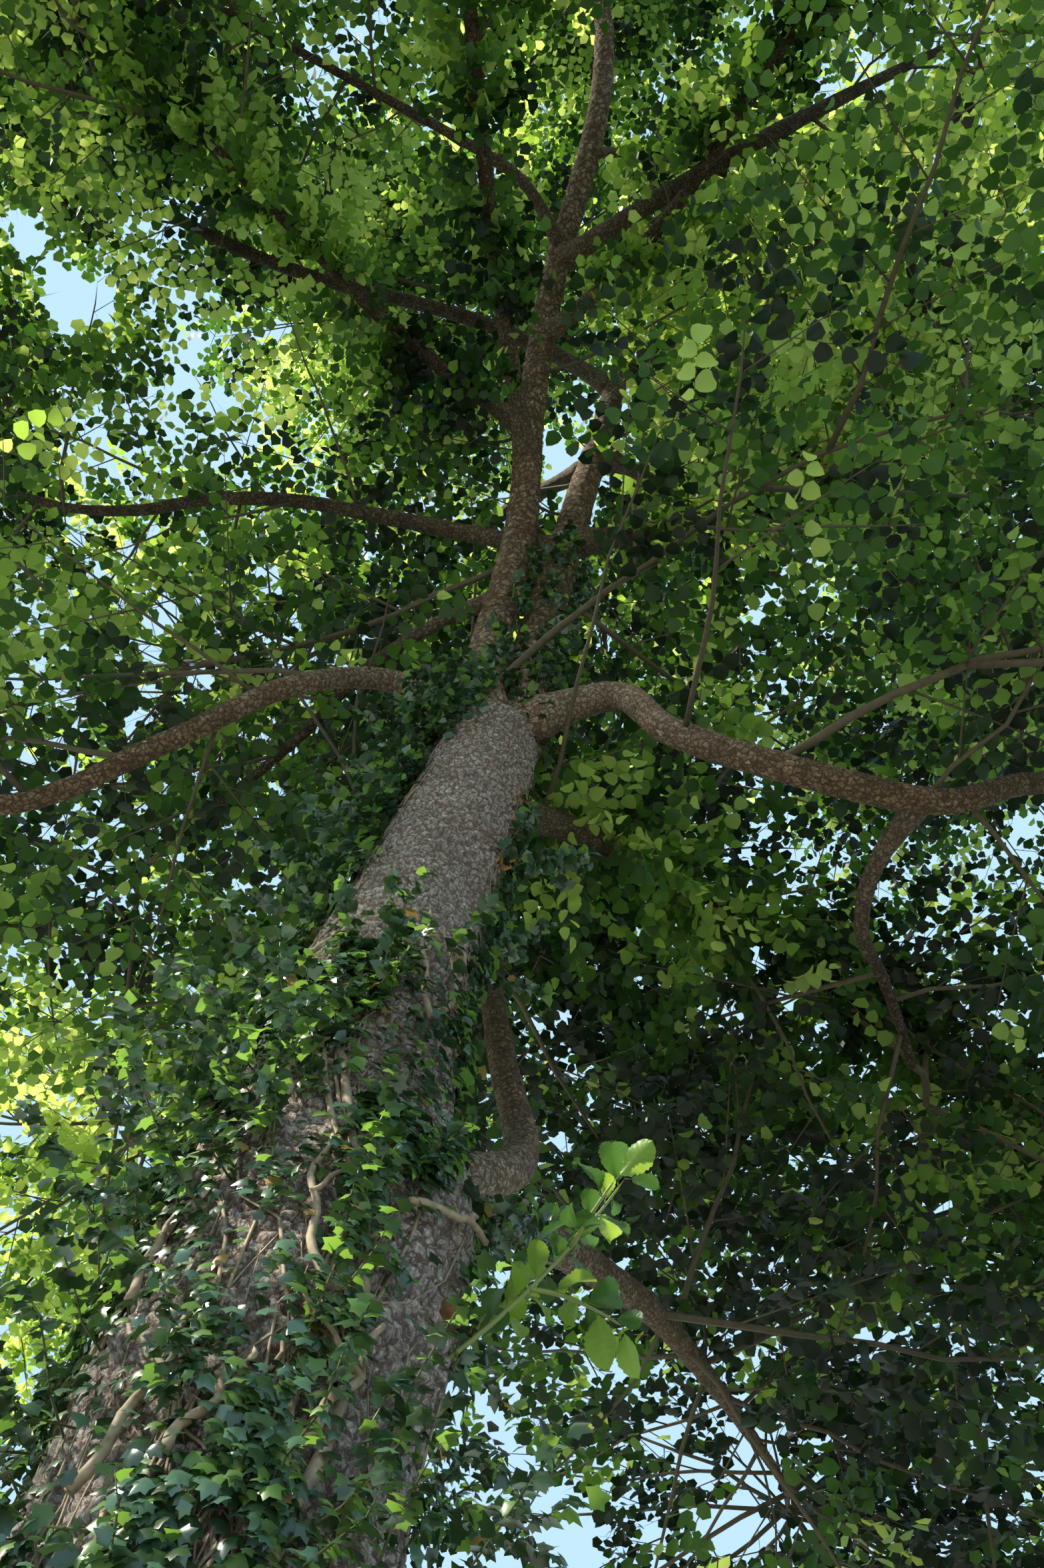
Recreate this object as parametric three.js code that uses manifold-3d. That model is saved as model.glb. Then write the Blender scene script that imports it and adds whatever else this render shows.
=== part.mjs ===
// Black alder, a whole tree about 18 m tall on one leaning trunk that forks at 6 m, clothed in ivy.
// Millimetres, +Z up. The origin is the middle of the flat cut at the ground. +Y is away from the
// side the tree is seen from and +X is to the right.
import * as THREE from 'three';
import { mergeVertices } from 'three/addons/utils/BufferGeometryUtils.js';
import Module from 'manifold-3d';

const wasm = await Module();
wasm.setup();

// Driving dimensions
const clearance = 0.3;            // gap between a limb and what grows from it
const rootFlare = 95;             // how far the foot of the trunk swells past its taper
const rootFlareHeight = 380;      // height over which that swelling dies away
const buttresses = 5;             // swells round the foot
const buttressSwell = 0.45;       // how far they rise and fall, as a share of the flare
const buttressTurn = 0.6;         // turns the swells round the trunk, in radians
const burlHeight = 3050;          // middle of the burl on the trunk
const burlAzimuth = -12;          // degrees from +X, on the right of the trunk
const burlProud = 75;
const burlHalfHeight = 330;
const burlHalfWidth = 38;         // degrees
const limbStride = 500;           // a limb bends once in this length
const fewestBends = 5;
const mostBends = 20;
const trunkSides = 16;
const stemSides = 6;              // on limbs longer than stemFrom
const boughSides = 5;
const stemFrom = 9000;
const oldBarkFrom = 5500;         // limbs longer than this have the trunk's rough bark
const sprayLength = 1300;         // one blade stands for a spray of leaves
const sprayWidth = 860;
const sprayThickness = 34;
const sprayTwigRadius = 13;
const sprayTilt = 1.5;            // how far sprays tilt from level, as a slope either way
const sprayDroop = 0.12;          // slope at which the spray on a twig's tip hangs
const sideSpraySize = 0.85;       // sprays on the sides of a twig, against the one on its tip
const sideSprayShares = [0.8, 0.5];
const sideSprayAhead = 0.62;      // they point this much along the twig
const sideSprayOut = 0.78;        // and this much away from it
const stemBends = 4;              // bends in the stem of a mass
const stemTurn = 8;               // degrees that it turns on from its bough
const stemRise = 12;              // degrees that it rises on from its bough
const massMiddle = 0.7;           // share of the stem where the middle of the mass lies
const sideTwigs = 5;              // side twigs on the stem of a mass
const sideTwigLength = 1150;
const sideTwigFrom = 0.2;         // share of the stem where the first side twig is
const sideTwigSpan = 0.74;        // and the share from there to the last
const sideTwigOpening = 62;       // degrees between stem and side twig, at the stem's foot
const openingLoss = 20;           // degrees less at its tip
const openingSpread = 10;         // degrees more, at random
const reachLoss = 0.3;            // side twigs get this much shorter towards the tip
const reachSpread = 0.2;          // and this much longer at random
const sideTwigLevel = 0.75;       // side twigs flatten towards level by this factor
const sideTwigLift = 0.08;        // and lift by this slope
const twigTaper = 0.45;           // share of its thickness that a twig loses
const massReach = 2400;           // furthest a spray may stand from the middle of its mass
const limbMargin = 25;            // sprays and twigs keep this far from limbs
const cellMargin = 6;             // and this far from the border of their own space
const ivyLeafLength = 300;        // one blade stands for a bunch of ivy leaves
const ivyLeafWidth = 250;
const ivyLeafThickness = 8;
const ivyStemRadius = 9;
const ivyRise = 0.095;            // share of the trunk between side stems of the ivy
const ivyFoot = 0.012;            // share of the trunk where the ivy starts
const ivyWind = 0.45;             // share of its half sector that the main stem winds either way
const ivyWinding = 19;            // how fast it winds, in radians over the trunk
const ivyReach = 0.5;             // share of the half sector that a side stem crosses
const ivyReachSpread = 0.3;
const shootLength = 480;          // the leafy shoot that springs from the burl
const shootLeafLength = 125;
const shootLeafWidth = 100;
const shootLeafThickness = 3;
const shootRadius = 5;
const shootLeaves = 11;
const shootBends = 5;
const shootBareShare = 0.25;      // share of the shoot below its first leaf
const shootLeafOpening = 62;      // degrees between the shoot and a leaf
const shootTipOpening = 5;        // and at its tip
const goldenAngle = 137.5;

// Every limb is a curve that starts on its host, at a share of the host's length. Its heading
// (degrees from +X towards +Y), climb (degrees above level) and thickness change evenly from one
// value of each list to the next.
const limbs = {
  trunk: { heading: [17, 90, 81, -9], climb: [89, 79, 77, 84], length: 6080,
    thick: [480, 450, 425, 395, 370, 345] },
  near_stem: { from: 'trunk', at: 0.97, shift: [-50, -60], heading: [-4, -85, -69, -100, -15],
    climb: [90, 72, 41, 74, 76], length: 10100, thick: [240, 160, 152, 140, 120, 90, 40] },
  rear_stem: { from: 'trunk', at: 0.97, shift: [55, 65], heading: [-28, -36, -72, -65],
    climb: [82, 79, 68, 72], length: 10200, thick: [230, 175, 150, 125, 95, 40] },
  right_bough: { from: 'trunk', at: 0.99, heading: [-14, -17, 12, 10, 18, -11],
    climb: [49, -75, -14, 45, -12, 33], length: 3850, thick: [125, 100, 95, 78, 64, 46] },
  right_hanging_bough: { from: 'right_bough', at: 0.485, heading: [125, 64, 69], climb: [1, 19, 7],
    length: 1500, thick: [62, 45, 30] },
  left_low_bough: { from: 'trunk', at: 0.985, heading: [-175, -157, -202, -167, -178],
    climb: [88, -46, -46, -12, -5], length: 3200, thick: [110, 80, 72, 60, 44] },
  left_back_bough: { from: 'near_stem', at: 0.137, heading: [178, 136, 143], climb: [-43, -11, 14],
    length: 1900, thick: [62, 48, 34] },
  left_middle_bough: { from: 'rear_stem', at: 0.212, heading: [-171, -174, -194, -168],
    climb: [7, 19, 19, 28], length: 3500, thick: [95, 75, 65, 42] },
  rear_right_bough: { from: 'rear_stem', at: 0.221, heading: [-5, -6, 27], climb: [12, 29, 21],
    length: 2450, thick: [110, 85, 50] },
  upper_left_bough: { from: 'near_stem', at: 0.456, heading: [-111, -154, -154, -154],
    climb: [-41, 14, 12, 12], length: 2500, thick: [72, 52, 38] },
  upper_right_bough: { from: 'near_stem', at: 0.443, heading: [-33, -23, -20], climb: [-9, 33, 40],
    length: 3400, thick: [115, 90, 46] },
  upper_right_thin_bough: { from: 'near_stem', at: 0.532, heading: [-1, 16, 47], climb: [-28, -25, -12],
    length: 1680, thick: [50, 40, 30] },
  far_upper_left_bough: { from: 'rear_stem', at: 0.475, heading: [-152, -167, -156, -115],
    climb: [34, -12, 29, 47], length: 5000, thick: [110, 88, 78, 42] },
  low_outward_bough: { from: 'trunk', at: 0.553, heading: [62, 72, 71], climb: [35, 26, 20],
    length: 5550, thick: [105, 84, 66, 34] },
  low_rising_bough: { from: 'trunk', at: 0.55, heading: [32, 112, 88, 115], climb: [27, 74, 66, 80],
    length: 4100, thick: [100, 84, 70, 45] },
  far_bough: { from: 'trunk', at: 0.96, heading: [72, 71, 79], climb: [33, 31, 23], length: 3300,
    thick: [105, 75, 48] },
  far_left_bough: { from: 'trunk', at: 0.94, heading: [128, 118, 120], climb: [40, 24, 16], length: 3900,
    thick: [105, 80, 46] },
  far_right_bough: { from: 'trunk', at: 0.9, heading: [35, 44, 36], climb: [34, 14, 4], length: 3700,
    thick: [105, 78, 46] },
  near_left_bough: { from: 'near_stem', at: 0.3, heading: [-150, -134, -142], climb: [12, 6, 16],
    length: 3000, thick: [90, 70, 42] },
  near_bough: { from: 'near_stem', at: 0.27, heading: [-100, -96, -88], climb: [-10, 4, 6], length: 3300,
    thick: [95, 72, 42] },
  near_right_bough: { from: 'near_stem', at: 0.38, heading: [-35, -58, -50], climb: [5, 0, 10],
    length: 3000, thick: [90, 70, 42] },
  near_top_bough: { from: 'near_stem', at: 0.72, heading: [-110, -104, -96], climb: [20, 34, 46],
    length: 1800, thick: [64, 50, 34] },
  rear_back_left_bough: { from: 'rear_stem', at: 0.34, heading: [150, 134, 138], climb: [24, 26, 34],
    length: 2900, thick: [95, 72, 42] },
  rear_back_bough: { from: 'rear_stem', at: 0.45, heading: [80, 92, 84], climb: [30, 32, 40],
    length: 2700, thick: [90, 68, 42] },
  rear_back_right_bough: { from: 'rear_stem', at: 0.37, heading: [30, 44, 38], climb: [20, 24, 30],
    length: 3100, thick: [92, 70, 42] },
  rear_top_left_bough: { from: 'rear_stem', at: 0.7, heading: [175, 165, 150], climb: [35, 42, 50],
    length: 2000, thick: [66, 52, 34] },
  rear_top_right_bough: { from: 'rear_stem', at: 0.66, heading: [5, 16, 10], climb: [30, 38, 46],
    length: 2200, thick: [70, 54, 34] },
};

// Every mass of foliage grows from one stem of its own, on a bough's tip or the side of a stem.
// Without a heading and climb the stem goes on as its bough does.
const masses = {
  right_bough_foliage: { from: 'right_bough', length: 1500 },
  right_upper_foliage: { from: 'right_bough', at: 0.353, heading: [-47, 3, -58], climb: [-12, 22, 47],
    length: 2500 },
  right_hanging_foliage: { from: 'right_hanging_bough', length: 1600 },
  near_shoulder_foliage: { from: 'near_stem', at: 0.03, heading: [-30, -36, 27], climb: [40, -10, 45],
    length: 2800 },
  left_low_foliage: { from: 'left_low_bough', length: 1500 },
  left_back_foliage: { from: 'left_back_bough', length: 1700 },
  left_thin_foliage: { from: 'near_stem', at: 0.17, heading: [166, 163, 166], climb: [-36, 9, 14],
    length: 3300 },
  left_middle_foliage: { from: 'left_middle_bough', length: 1600 },
  rear_right_foliage: { from: 'rear_right_bough', length: 1700 },
  upper_left_foliage: { from: 'upper_left_bough', length: 1600 },
  upper_right_foliage: { from: 'upper_right_bough', length: 1600 },
  upper_right_thin_foliage: { from: 'upper_right_thin_bough', length: 1500 },
  far_upper_left_foliage: { from: 'far_upper_left_bough', length: 1500 },
  low_outward_foliage: { from: 'low_outward_bough', length: 1300 },
  low_rising_foliage: { from: 'low_rising_bough', length: 1500 },
  far_foliage: { from: 'far_bough', length: 1700 },
  far_left_foliage: { from: 'far_left_bough', length: 1600 },
  far_right_foliage: { from: 'far_right_bough', length: 1600 },
  near_left_foliage: { from: 'near_left_bough', length: 1600 },
  near_foliage: { from: 'near_bough', length: 1600 },
  near_right_foliage: { from: 'near_right_bough', length: 1600 },
  near_top_foliage: { from: 'near_top_bough', length: 1500 },
  rear_back_left_foliage: { from: 'rear_back_left_bough', length: 1600 },
  rear_back_foliage: { from: 'rear_back_bough', length: 1600 },
  rear_back_right_foliage: { from: 'rear_back_right_bough', length: 1600 },
  rear_top_left_foliage: { from: 'rear_top_left_bough', length: 1500 },
  rear_top_right_foliage: { from: 'rear_top_right_bough', length: 1500 },
  near_stem_top_foliage: { from: 'near_stem', length: 1500 },
  rear_stem_top_foliage: { from: 'rear_stem', length: 1400 },
};

// Ivy climbs the trunk in three growths. Each keeps to its own sector, in degrees round the trunk
// from +X towards +Y, and winds about the middle of it.
const ivies = {
  ivy_left: { from: 128, to: 236, top: 0.97, seed: 11 },
  ivy_front: { from: 242, to: 338, top: 0.66, seed: 12 },
  ivy_back: { from: -16, to: 122, top: 0.9, seed: 13 },
};

const bark = new THREE.MeshStandardMaterial({ color: 0x85796b, roughness: 0.95, metalness: 0 });
const youngBark = new THREE.MeshStandardMaterial({ color: 0x5f513d, roughness: 0.9, metalness: 0 });
const foliage = new THREE.MeshStandardMaterial({ color: 0x56772b, roughness: 0.6, metalness: 0 });
const freshLeaf = new THREE.MeshStandardMaterial({ color: 0x7f9a3c, roughness: 0.55, metalness: 0 });
const ivyLeaf = new THREE.MeshStandardMaterial({ color: 0x2f4a2a, roughness: 0.4, metalness: 0 });

const radians = THREE.MathUtils.degToRad;
const up = new THREE.Vector3(0, 0, 1);

// Seeded random numbers from 0 to 1, so that every run grows the same tree.
function seeded(seed) {
  let state = seed * 2654435761 >>> 0;
  return () => {
    state = state + 0x6d2b79f5 >>> 0;
    let mixed = Math.imul(state ^ state >>> 15, 1 | state);
    mixed = mixed + Math.imul(mixed ^ mixed >>> 7, 61 | mixed) ^ mixed;
    return ((mixed ^ mixed >>> 14) >>> 0) / 4294967296;
  };
}

// The value at a share of the way along an evenly spaced list of numbers or points.
function along(list, share) {
  const place = Math.min(Math.max(share, 0), 1) * (list.length - 1);
  const step = Math.min(Math.floor(place), list.length - 2);
  const rest = place - step;
  if (list[0].isVector3) return list[step].clone().lerp(list[step + 1], rest);
  return list[step] + (list[step + 1] - list[step]) * rest;
}

function direction(heading, climb) {
  const level = Math.cos(radians(climb));
  return new THREE.Vector3(level * Math.cos(radians(heading)), level * Math.sin(radians(heading)),
    Math.sin(radians(climb)));
}

// Points of a curve whose heading and climb change along its length.
function curve(start, { heading, climb, length }, steps) {
  const points = [start.clone()];
  for (let step = 0; step < steps; step += 1) {
    const share = (step + 0.5) / steps;
    const stride = direction(along(heading, share), along(climb, share)).multiplyScalar(length / steps);
    points.push(points[step].clone().add(stride));
  }
  return points;
}

// At each point of a path: the way it runs, and two directions across it that don't twist.
function frames(points) {
  const list = [];
  let across = new THREE.Vector3(1, 0, 0);
  points.forEach((point, index) => {
    const before = points[Math.max(index - 1, 0)];
    const after = points[Math.min(index + 1, points.length - 1)];
    const ahead = after.clone().sub(before).normalize();
    if (index === 0 && Math.abs(ahead.x) > 0.8) across = new THREE.Vector3(0, 1, 0);
    across = across.clone().addScaledVector(ahead, -across.dot(ahead)).normalize();
    list.push({ point, ahead, across, side: ahead.clone().cross(across) });
  });
  return list;
}

// A closed tube along a path. radiusAt gives its radius at a share of the path and an azimuth.
function tube(points, radiusAt, sides) {
  const steps = points.length - 1;
  const geometry = new THREE.CylinderGeometry(1, 1, 1, sides, steps);
  const path = frames(points);
  const position = geometry.attributes.position;
  const vertex = new THREE.Vector3();
  for (let index = 0; index < position.count; index += 1) {
    vertex.fromBufferAttribute(position, index);
    const step = Math.round((vertex.y + 0.5) * steps);
    const { point, across, side } = path[step];
    const azimuth = Math.atan2(-vertex.z, vertex.x);
    const radius = Math.hypot(vertex.x, vertex.z) > 0.5 ? radiusAt(step / steps, azimuth) : 0;
    vertex.copy(point).addScaledVector(across, radius * Math.cos(azimuth));
    vertex.addScaledVector(side, radius * Math.sin(azimuth));
    position.setXYZ(index, vertex.x, vertex.y, vertex.z);
  }
  return geometry;
}

function solid(geometry) {
  geometry.deleteAttribute('normal');
  geometry.deleteAttribute('uv');
  const merged = mergeVertices(geometry, 1e-3);
  return new wasm.Manifold(new wasm.Mesh({ numProp: 3,
    vertProperties: new Float32Array(merged.attributes.position.array),
    triVerts: new Uint32Array(merged.index.array) }));
}

// The largest connected piece: loose scraps are dropped and sealed hollows are filled.
function largest(shape) {
  return shape.decompose().reduce((best, piece) => piece.volume() > best.volume() ? piece : best);
}

function addMesh(name, shape, material) {
  const { vertProperties, triVerts } = shape.getMesh();
  const geometry = new THREE.BufferGeometry();
  geometry.setAttribute('position', new THREE.Float32BufferAttribute(vertProperties, 3));
  geometry.setIndex(Array.from(triVerts));
  geometry.computeVertexNormals();
  const mesh = new THREE.Mesh(geometry, material);
  mesh.name = name;
  tree.add(mesh);
}

const tree = new THREE.Group();
tree.name = 'black_alder';

// The trunk's radius: an even taper, a flared and buttressed foot, and the burl.
function trunkRadius(share, azimuth) {
  const height = share * limbs.trunk.length;
  const flare = rootFlare * Math.exp(-height / rootFlareHeight);
  const buttress = 1 + buttressSwell * Math.cos(buttresses * azimuth + buttressTurn);
  const turned = THREE.MathUtils.euclideanModulo(azimuth - radians(burlAzimuth) + Math.PI, 2 * Math.PI);
  const burlAcross = (turned - Math.PI) / radians(burlHalfWidth);
  const burlAlong = (height - burlHeight) / burlHalfHeight;
  const burl = burlProud * Math.exp(-(burlAcross ** 2) - burlAlong ** 2);
  return along(limbs.trunk.thick, share) / 2 + flare * buttress + burl;
}

// Paths of all the limbs, each starting on its host.
function limbSteps(limb) {
  return THREE.MathUtils.clamp(Math.round(limb.length / limbStride), fewestBends, mostBends);
}

const paths = {};
for (const [name, limb] of Object.entries(limbs)) {
  const start = limb.from ? along(paths[limb.from], limb.at) : new THREE.Vector3();
  if (limb.shift) start.add(new THREE.Vector3(...limb.shift, 0));
  paths[name] = curve(start, limb, limbSteps(limb));
}

// A limb's solid, grown by a clearance all round and past its tip where another is cut by it.
function limbSolid(name, grow = 0) {
  const limb = limbs[name];
  const points = paths[name].map((point) => point.clone());
  const last = points.length - 1;
  const tip = points[last].clone().sub(points[last - 1]).setLength(grow);
  points[last].add(tip);
  const isTrunk = name === 'trunk';
  const radiusAt = isTrunk ? trunkRadius : (share) => along(limb.thick, share) / 2;
  const thinSides = limb.length > stemFrom ? stemSides : boughSides;
  const sides = isTrunk ? trunkSides : thinSides;
  const geometry = tube(points, (share, azimuth) => radiusAt(share, azimuth) + grow, sides);
  if (isTrunk) {
    const position = geometry.attributes.position;
    for (let index = 0; index < position.count; index += 1) {
      if (position.getZ(index) < rootFlareHeight / 4) position.setZ(index, 0);
    }
  }
  return solid(geometry);
}

const grownLimbs = {};
for (const [name, limb] of Object.entries(limbs)) {
  const earlier = Object.values(grownLimbs);
  const whole = limbSolid(name);
  const cut = earlier.length ? largest(whole.subtract(wasm.Manifold.union(earlier))) : whole;
  addMesh(name, cut, limb.length > oldBarkFrom ? bark : youngBark);
  grownLimbs[name] = limbSolid(name, clearance);
}
const allLimbs = wasm.Manifold.union(Object.values(grownLimbs));

// Paths of the masses' own stems, which start inside the bough's tip and are cut clear of it.
const massStems = {};
for (const [name, mass] of Object.entries(masses)) {
  const host = paths[mass.from];
  const share = mass.at ?? 1;
  const path = frames(host);
  const ahead = path[path.length - 1].ahead;
  const heading = THREE.MathUtils.radToDeg(Math.atan2(ahead.y, ahead.x));
  const climb = THREE.MathUtils.radToDeg(Math.asin(ahead.z));
  const rule = { heading: mass.heading ?? [heading, heading + stemTurn],
    climb: mass.climb ?? [climb, climb + stemRise], length: mass.length };
  const start = along(host, share);
  if (share === 1) start.addScaledVector(ahead, -sprayTwigRadius);
  massStems[name] = curve(start, rule, stemBends);
}
const centres = {};
for (const [name, stem] of Object.entries(massStems)) centres[name] = along(stem, massMiddle);

// Straight stretches of every limb and mass stem, with their radius, to keep sprays clear of them.
const stretches = [];
for (const [name, points] of [...Object.entries(paths), ...Object.entries(massStems)]) {
  const thick = limbs[name]?.thick ?? [2 * sprayTwigRadius, 2 * sprayTwigRadius];
  for (let index = 1; index < points.length; index += 1) {
    const radius = along(thick, (index - 1) / (points.length - 1)) / 2;
    stretches.push({ owner: name, line: new THREE.Line3(points[index - 1], points[index]), radius });
  }
}

// Whether all of some points are inside a mass's own space and clear of every limb but its own stem.
function fits(name, points) {
  const centre = centres[name];
  return points.every((point) => {
    const own = point.distanceTo(centre);
    if (own > massReach) return false;
    for (const [other, middle] of Object.entries(centres)) {
      if (other === name) continue;
      const past = (point.distanceToSquared(middle) - own * own) / (2 * middle.distanceTo(centre));
      if (past < cellMargin) return false;
    }
    const nearest = new THREE.Vector3();
    return stretches.every(({ owner, line, radius }) => {
      if (owner === name) return true;
      line.closestPointToPoint(point, true, nearest);
      return nearest.distanceTo(point) > radius + limbMargin;
    });
  });
}

// A spray's blade: six corners and eight faces, widest just past its middle, with its root sunk into
// the twig and its tip bent down.
const widest = 0.56;
const thickest = 0.52;
const tipDrop = 1.5;
function blade(root, ahead, facing, length, width, thickness) {
  const side = facing.clone().cross(ahead).normalize();
  const normal = ahead.clone().cross(side).normalize();
  const at = (share, across, rise) => root.clone().addScaledVector(ahead, share * length)
    .addScaledVector(side, across * width / 2).addScaledVector(normal, rise * thickness / 2);
  const tip = at(1, 0, -tipDrop);
  const corners = [tip, root.clone(), at(thickest, 0, 1), at(thickest, 0, -1), at(widest, 1, -1),
    at(widest, -1, -1)];
  const geometry = new THREE.OctahedronGeometry(1);
  const position = geometry.attributes.position;
  for (let index = 0; index < position.count; index += 1) {
    let corner = position.getY(index) > 0 ? 2 : 3;
    if (Math.abs(position.getX(index)) > 0.5) corner = position.getX(index) > 0 ? 0 : 1;
    if (Math.abs(position.getZ(index)) > 0.5) corner = position.getZ(index) > 0 ? 5 : 4;
    position.setXYZ(index, corners[corner].x, corners[corner].y, corners[corner].z);
  }
  return { shape: solid(geometry), corners };
}

// A direction turned away from its parent by an opening angle, at an azimuth round it.
function branchOff(ahead, opening, azimuth) {
  const across = ahead.clone().cross(up).normalize();
  const away = across.clone().applyAxisAngle(ahead, radians(azimuth));
  return ahead.clone().multiplyScalar(Math.cos(radians(opening)))
    .addScaledVector(away, Math.sin(radians(opening))).normalize();
}

// Pieces fused into one solid, with needless edges in its flat faces removed, clear of every limb.
function fuse(shapes) {
  return largest(wasm.Manifold.union(shapes).asOriginal().simplify(0.5).subtract(allLimbs));
}

function twig(points, radius) {
  return solid(tube(points, (share) => radius * (1 - twigTaper * share), 3));
}

// One mass: side twigs leave the stem round it by the golden angle, and each carries a spray at its
// tip and one on either side. What would leave the mass's space, touch a limb or run into the mass's
// other twigs and sprays is skipped.
function growMass(name, seed) {
  const random = seeded(seed);
  const stem = massStems[name];
  const twigs = [{ points: stem, shape: twig(stem, sprayTwigRadius * 1.3) }];
  const sprays = [];
  let azimuth = 360 * random();
  for (let count = 0; count < sideTwigs; count += 1) {
    const share = sideTwigFrom + sideTwigSpan * count / (sideTwigs - 1);
    const root = along(stem, share);
    const ahead = along(stem, share + 0.05).sub(along(stem, share - 0.05)).normalize();
    azimuth += goldenAngle;
    const opening = sideTwigOpening - openingLoss * share + openingSpread * random();
    const way = branchOff(ahead, opening, azimuth);
    way.setZ(way.z * sideTwigLevel + sideTwigLift).normalize();
    const reach = sideTwigLength * (1 - reachLoss * share + reachSpread * random());
    const tip = root.clone().addScaledVector(way, reach);
    if (!fits(name, [tip, root.clone().lerp(tip, 0.5)])) continue;
    const shape = twig([root, tip], sprayTwigRadius);
    twigs.push({ points: [root, tip], shape });
  }
  const spray = (own, share, ahead, size) => {
    const tilt = new THREE.Vector3(random() - 0.5, random() - 0.5, 0).multiplyScalar(sprayTilt);
    const root = along(own.points, share).addScaledVector(ahead, -sprayTwigRadius);
    const { shape, corners } = blade(root, ahead, up.clone().add(tilt).normalize(), size * sprayLength,
      size * sprayWidth, sprayThickness);
    const others = [...twigs.filter((other) => other !== own).map((other) => other.shape), ...sprays];
    const apart = others.every((other) => other.intersect(shape).volume() === 0);
    if (apart && fits(name, corners)) sprays.push(shape);
  };
  for (const own of twigs) {
    const last = own.points.length - 1;
    const way = own.points[last].clone().sub(own.points[last - 1]).normalize();
    const level = up.clone().cross(way).normalize();
    spray(own, 1, way.clone().addScaledVector(up, -sprayDroop).normalize(), 1);
    if (own === twigs[0]) continue;
    sideSprayShares.forEach((share, index) => {
      const hand = index === 0 ? 1 : -1;
      const out = way.clone().multiplyScalar(sideSprayAhead).addScaledVector(level, hand * sideSprayOut);
      spray(own, share, out.normalize(), sideSpraySize);
    });
  }
  return fuse([...twigs.map((one) => one.shape), ...sprays]);
}

Object.keys(masses).forEach((name, index) => addMesh(name, growMass(name, index + 1), foliage));

// A point on the trunk's bark, or off it by a height, and the way out from the bark there.
const trunkFrames = frames(paths.trunk);
function onTrunk(share, degrees, off) {
  const place = Math.min(Math.round(share * (trunkFrames.length - 1)), trunkFrames.length - 1);
  const { across, side } = trunkFrames[place];
  const out = across.clone().multiplyScalar(Math.cos(radians(degrees)))
    .addScaledVector(side, Math.sin(radians(degrees)));
  const radius = trunkRadius(share, radians(degrees)) + off;
  return { point: along(paths.trunk, share).addScaledVector(out, radius), out };
}

// One growth of ivy: a stem winds up the bark and sends side stems out over it. Along both, bunches
// of leaves hang outwards. It is cut clear of the trunk and boughs.
function growIvy({ from, to, top, seed }) {
  const random = seeded(seed);
  const middle = (from + to) / 2;
  const half = (to - from) / 2;
  const shapes = [];
  const bunch = (share, degrees, hand) => {
    const { point, out } = onTrunk(share, degrees, ivyStemRadius);
    const aside = up.clone().cross(out).multiplyScalar(hand * (0.3 + 0.4 * random()));
    const ahead = out.clone().multiplyScalar(0.4 + 0.3 * random()).add(aside)
      .addScaledVector(up, 0.2 - 0.8 * random()).normalize();
    const facing = out.clone().addScaledVector(up, 0.6).normalize();
    const size = 0.75 + 0.35 * random();
    const { shape, corners } = blade(point, ahead, facing, size * ivyLeafLength, size * ivyLeafWidth,
      ivyLeafThickness);
    const axis = along(paths.trunk, share);
    const inSector = corners.every((corner) => {
      const round = THREE.MathUtils.radToDeg(Math.atan2(corner.y - axis.y, corner.x - axis.x));
      return Math.abs(THREE.MathUtils.euclideanModulo(round - middle + 180, 360) - 180) < half;
    });
    if (inSector && corners.every((corner) => corner.z > 0)) shapes.push(shape);
  };
  const main = [];
  for (let share = ivyFoot; share < top; share += ivyRise) {
    const degrees = middle + half * ivyWind * Math.sin(share * ivyWinding + seed);
    main.push(onTrunk(share, degrees, ivyStemRadius * 0.6).point);
    const hand = main.length % 2 ? 1 : -1;
    bunch(share, degrees, -hand);
    const turn = middle + hand * half * (ivyReach + ivyReachSpread * random()) - degrees;
    if (share + ivyRise > top) continue;
    const side = [0, 0.5, 1].map((part) => onTrunk(share + ivyRise * part, degrees + turn * part,
      ivyStemRadius * 0.5).point);
    shapes.push(twig(side, ivyStemRadius * 0.8));
    bunch(share + ivyRise, degrees + turn, hand);
  }
  shapes.push(twig(main, ivyStemRadius * 1.3));
  return fuse(shapes);
}

for (const [name, ivy] of Object.entries(ivies)) addMesh(name, growIvy(ivy), ivyLeaf);

// The leafy shoot springs from the top of the burl, with its leaves on alternate sides.
function growShoot() {
  const { point } = onTrunk(0.5, burlAzimuth - 30, -shootRadius * 2);
  const rule = { heading: [-40, -28, -20], climb: [50, 22, 34], length: shootLength };
  const stem = curve(point, rule, shootBends);
  const shapes = [twig(stem, shootRadius)];
  for (let count = 0; count < shootLeaves; count += 1) {
    const share = shootBareShare + (1 - shootBareShare) * count / (shootLeaves - 1);
    const root = along(stem, share);
    const ahead = along(stem, share + 0.1).sub(along(stem, share - 0.1)).normalize();
    const opening = share === 1 ? shootTipOpening : shootLeafOpening;
    const way = branchOff(ahead, opening, count * goldenAngle);
    const facing = up.clone().addScaledVector(ahead, 0.3);
    const size = 0.7 + 0.3 * Math.sin(Math.PI * share);
    root.addScaledVector(way, -shootRadius / 2);
    const leaf = blade(root, way, facing, size * shootLeafLength, size * shootLeafWidth, shootLeafThickness);
    shapes.push(leaf.shape);
  }
  return fuse(shapes);
}

addMesh('burl_shoot', growShoot(), freshLeaf);

export default tree;
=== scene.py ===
import math

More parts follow.
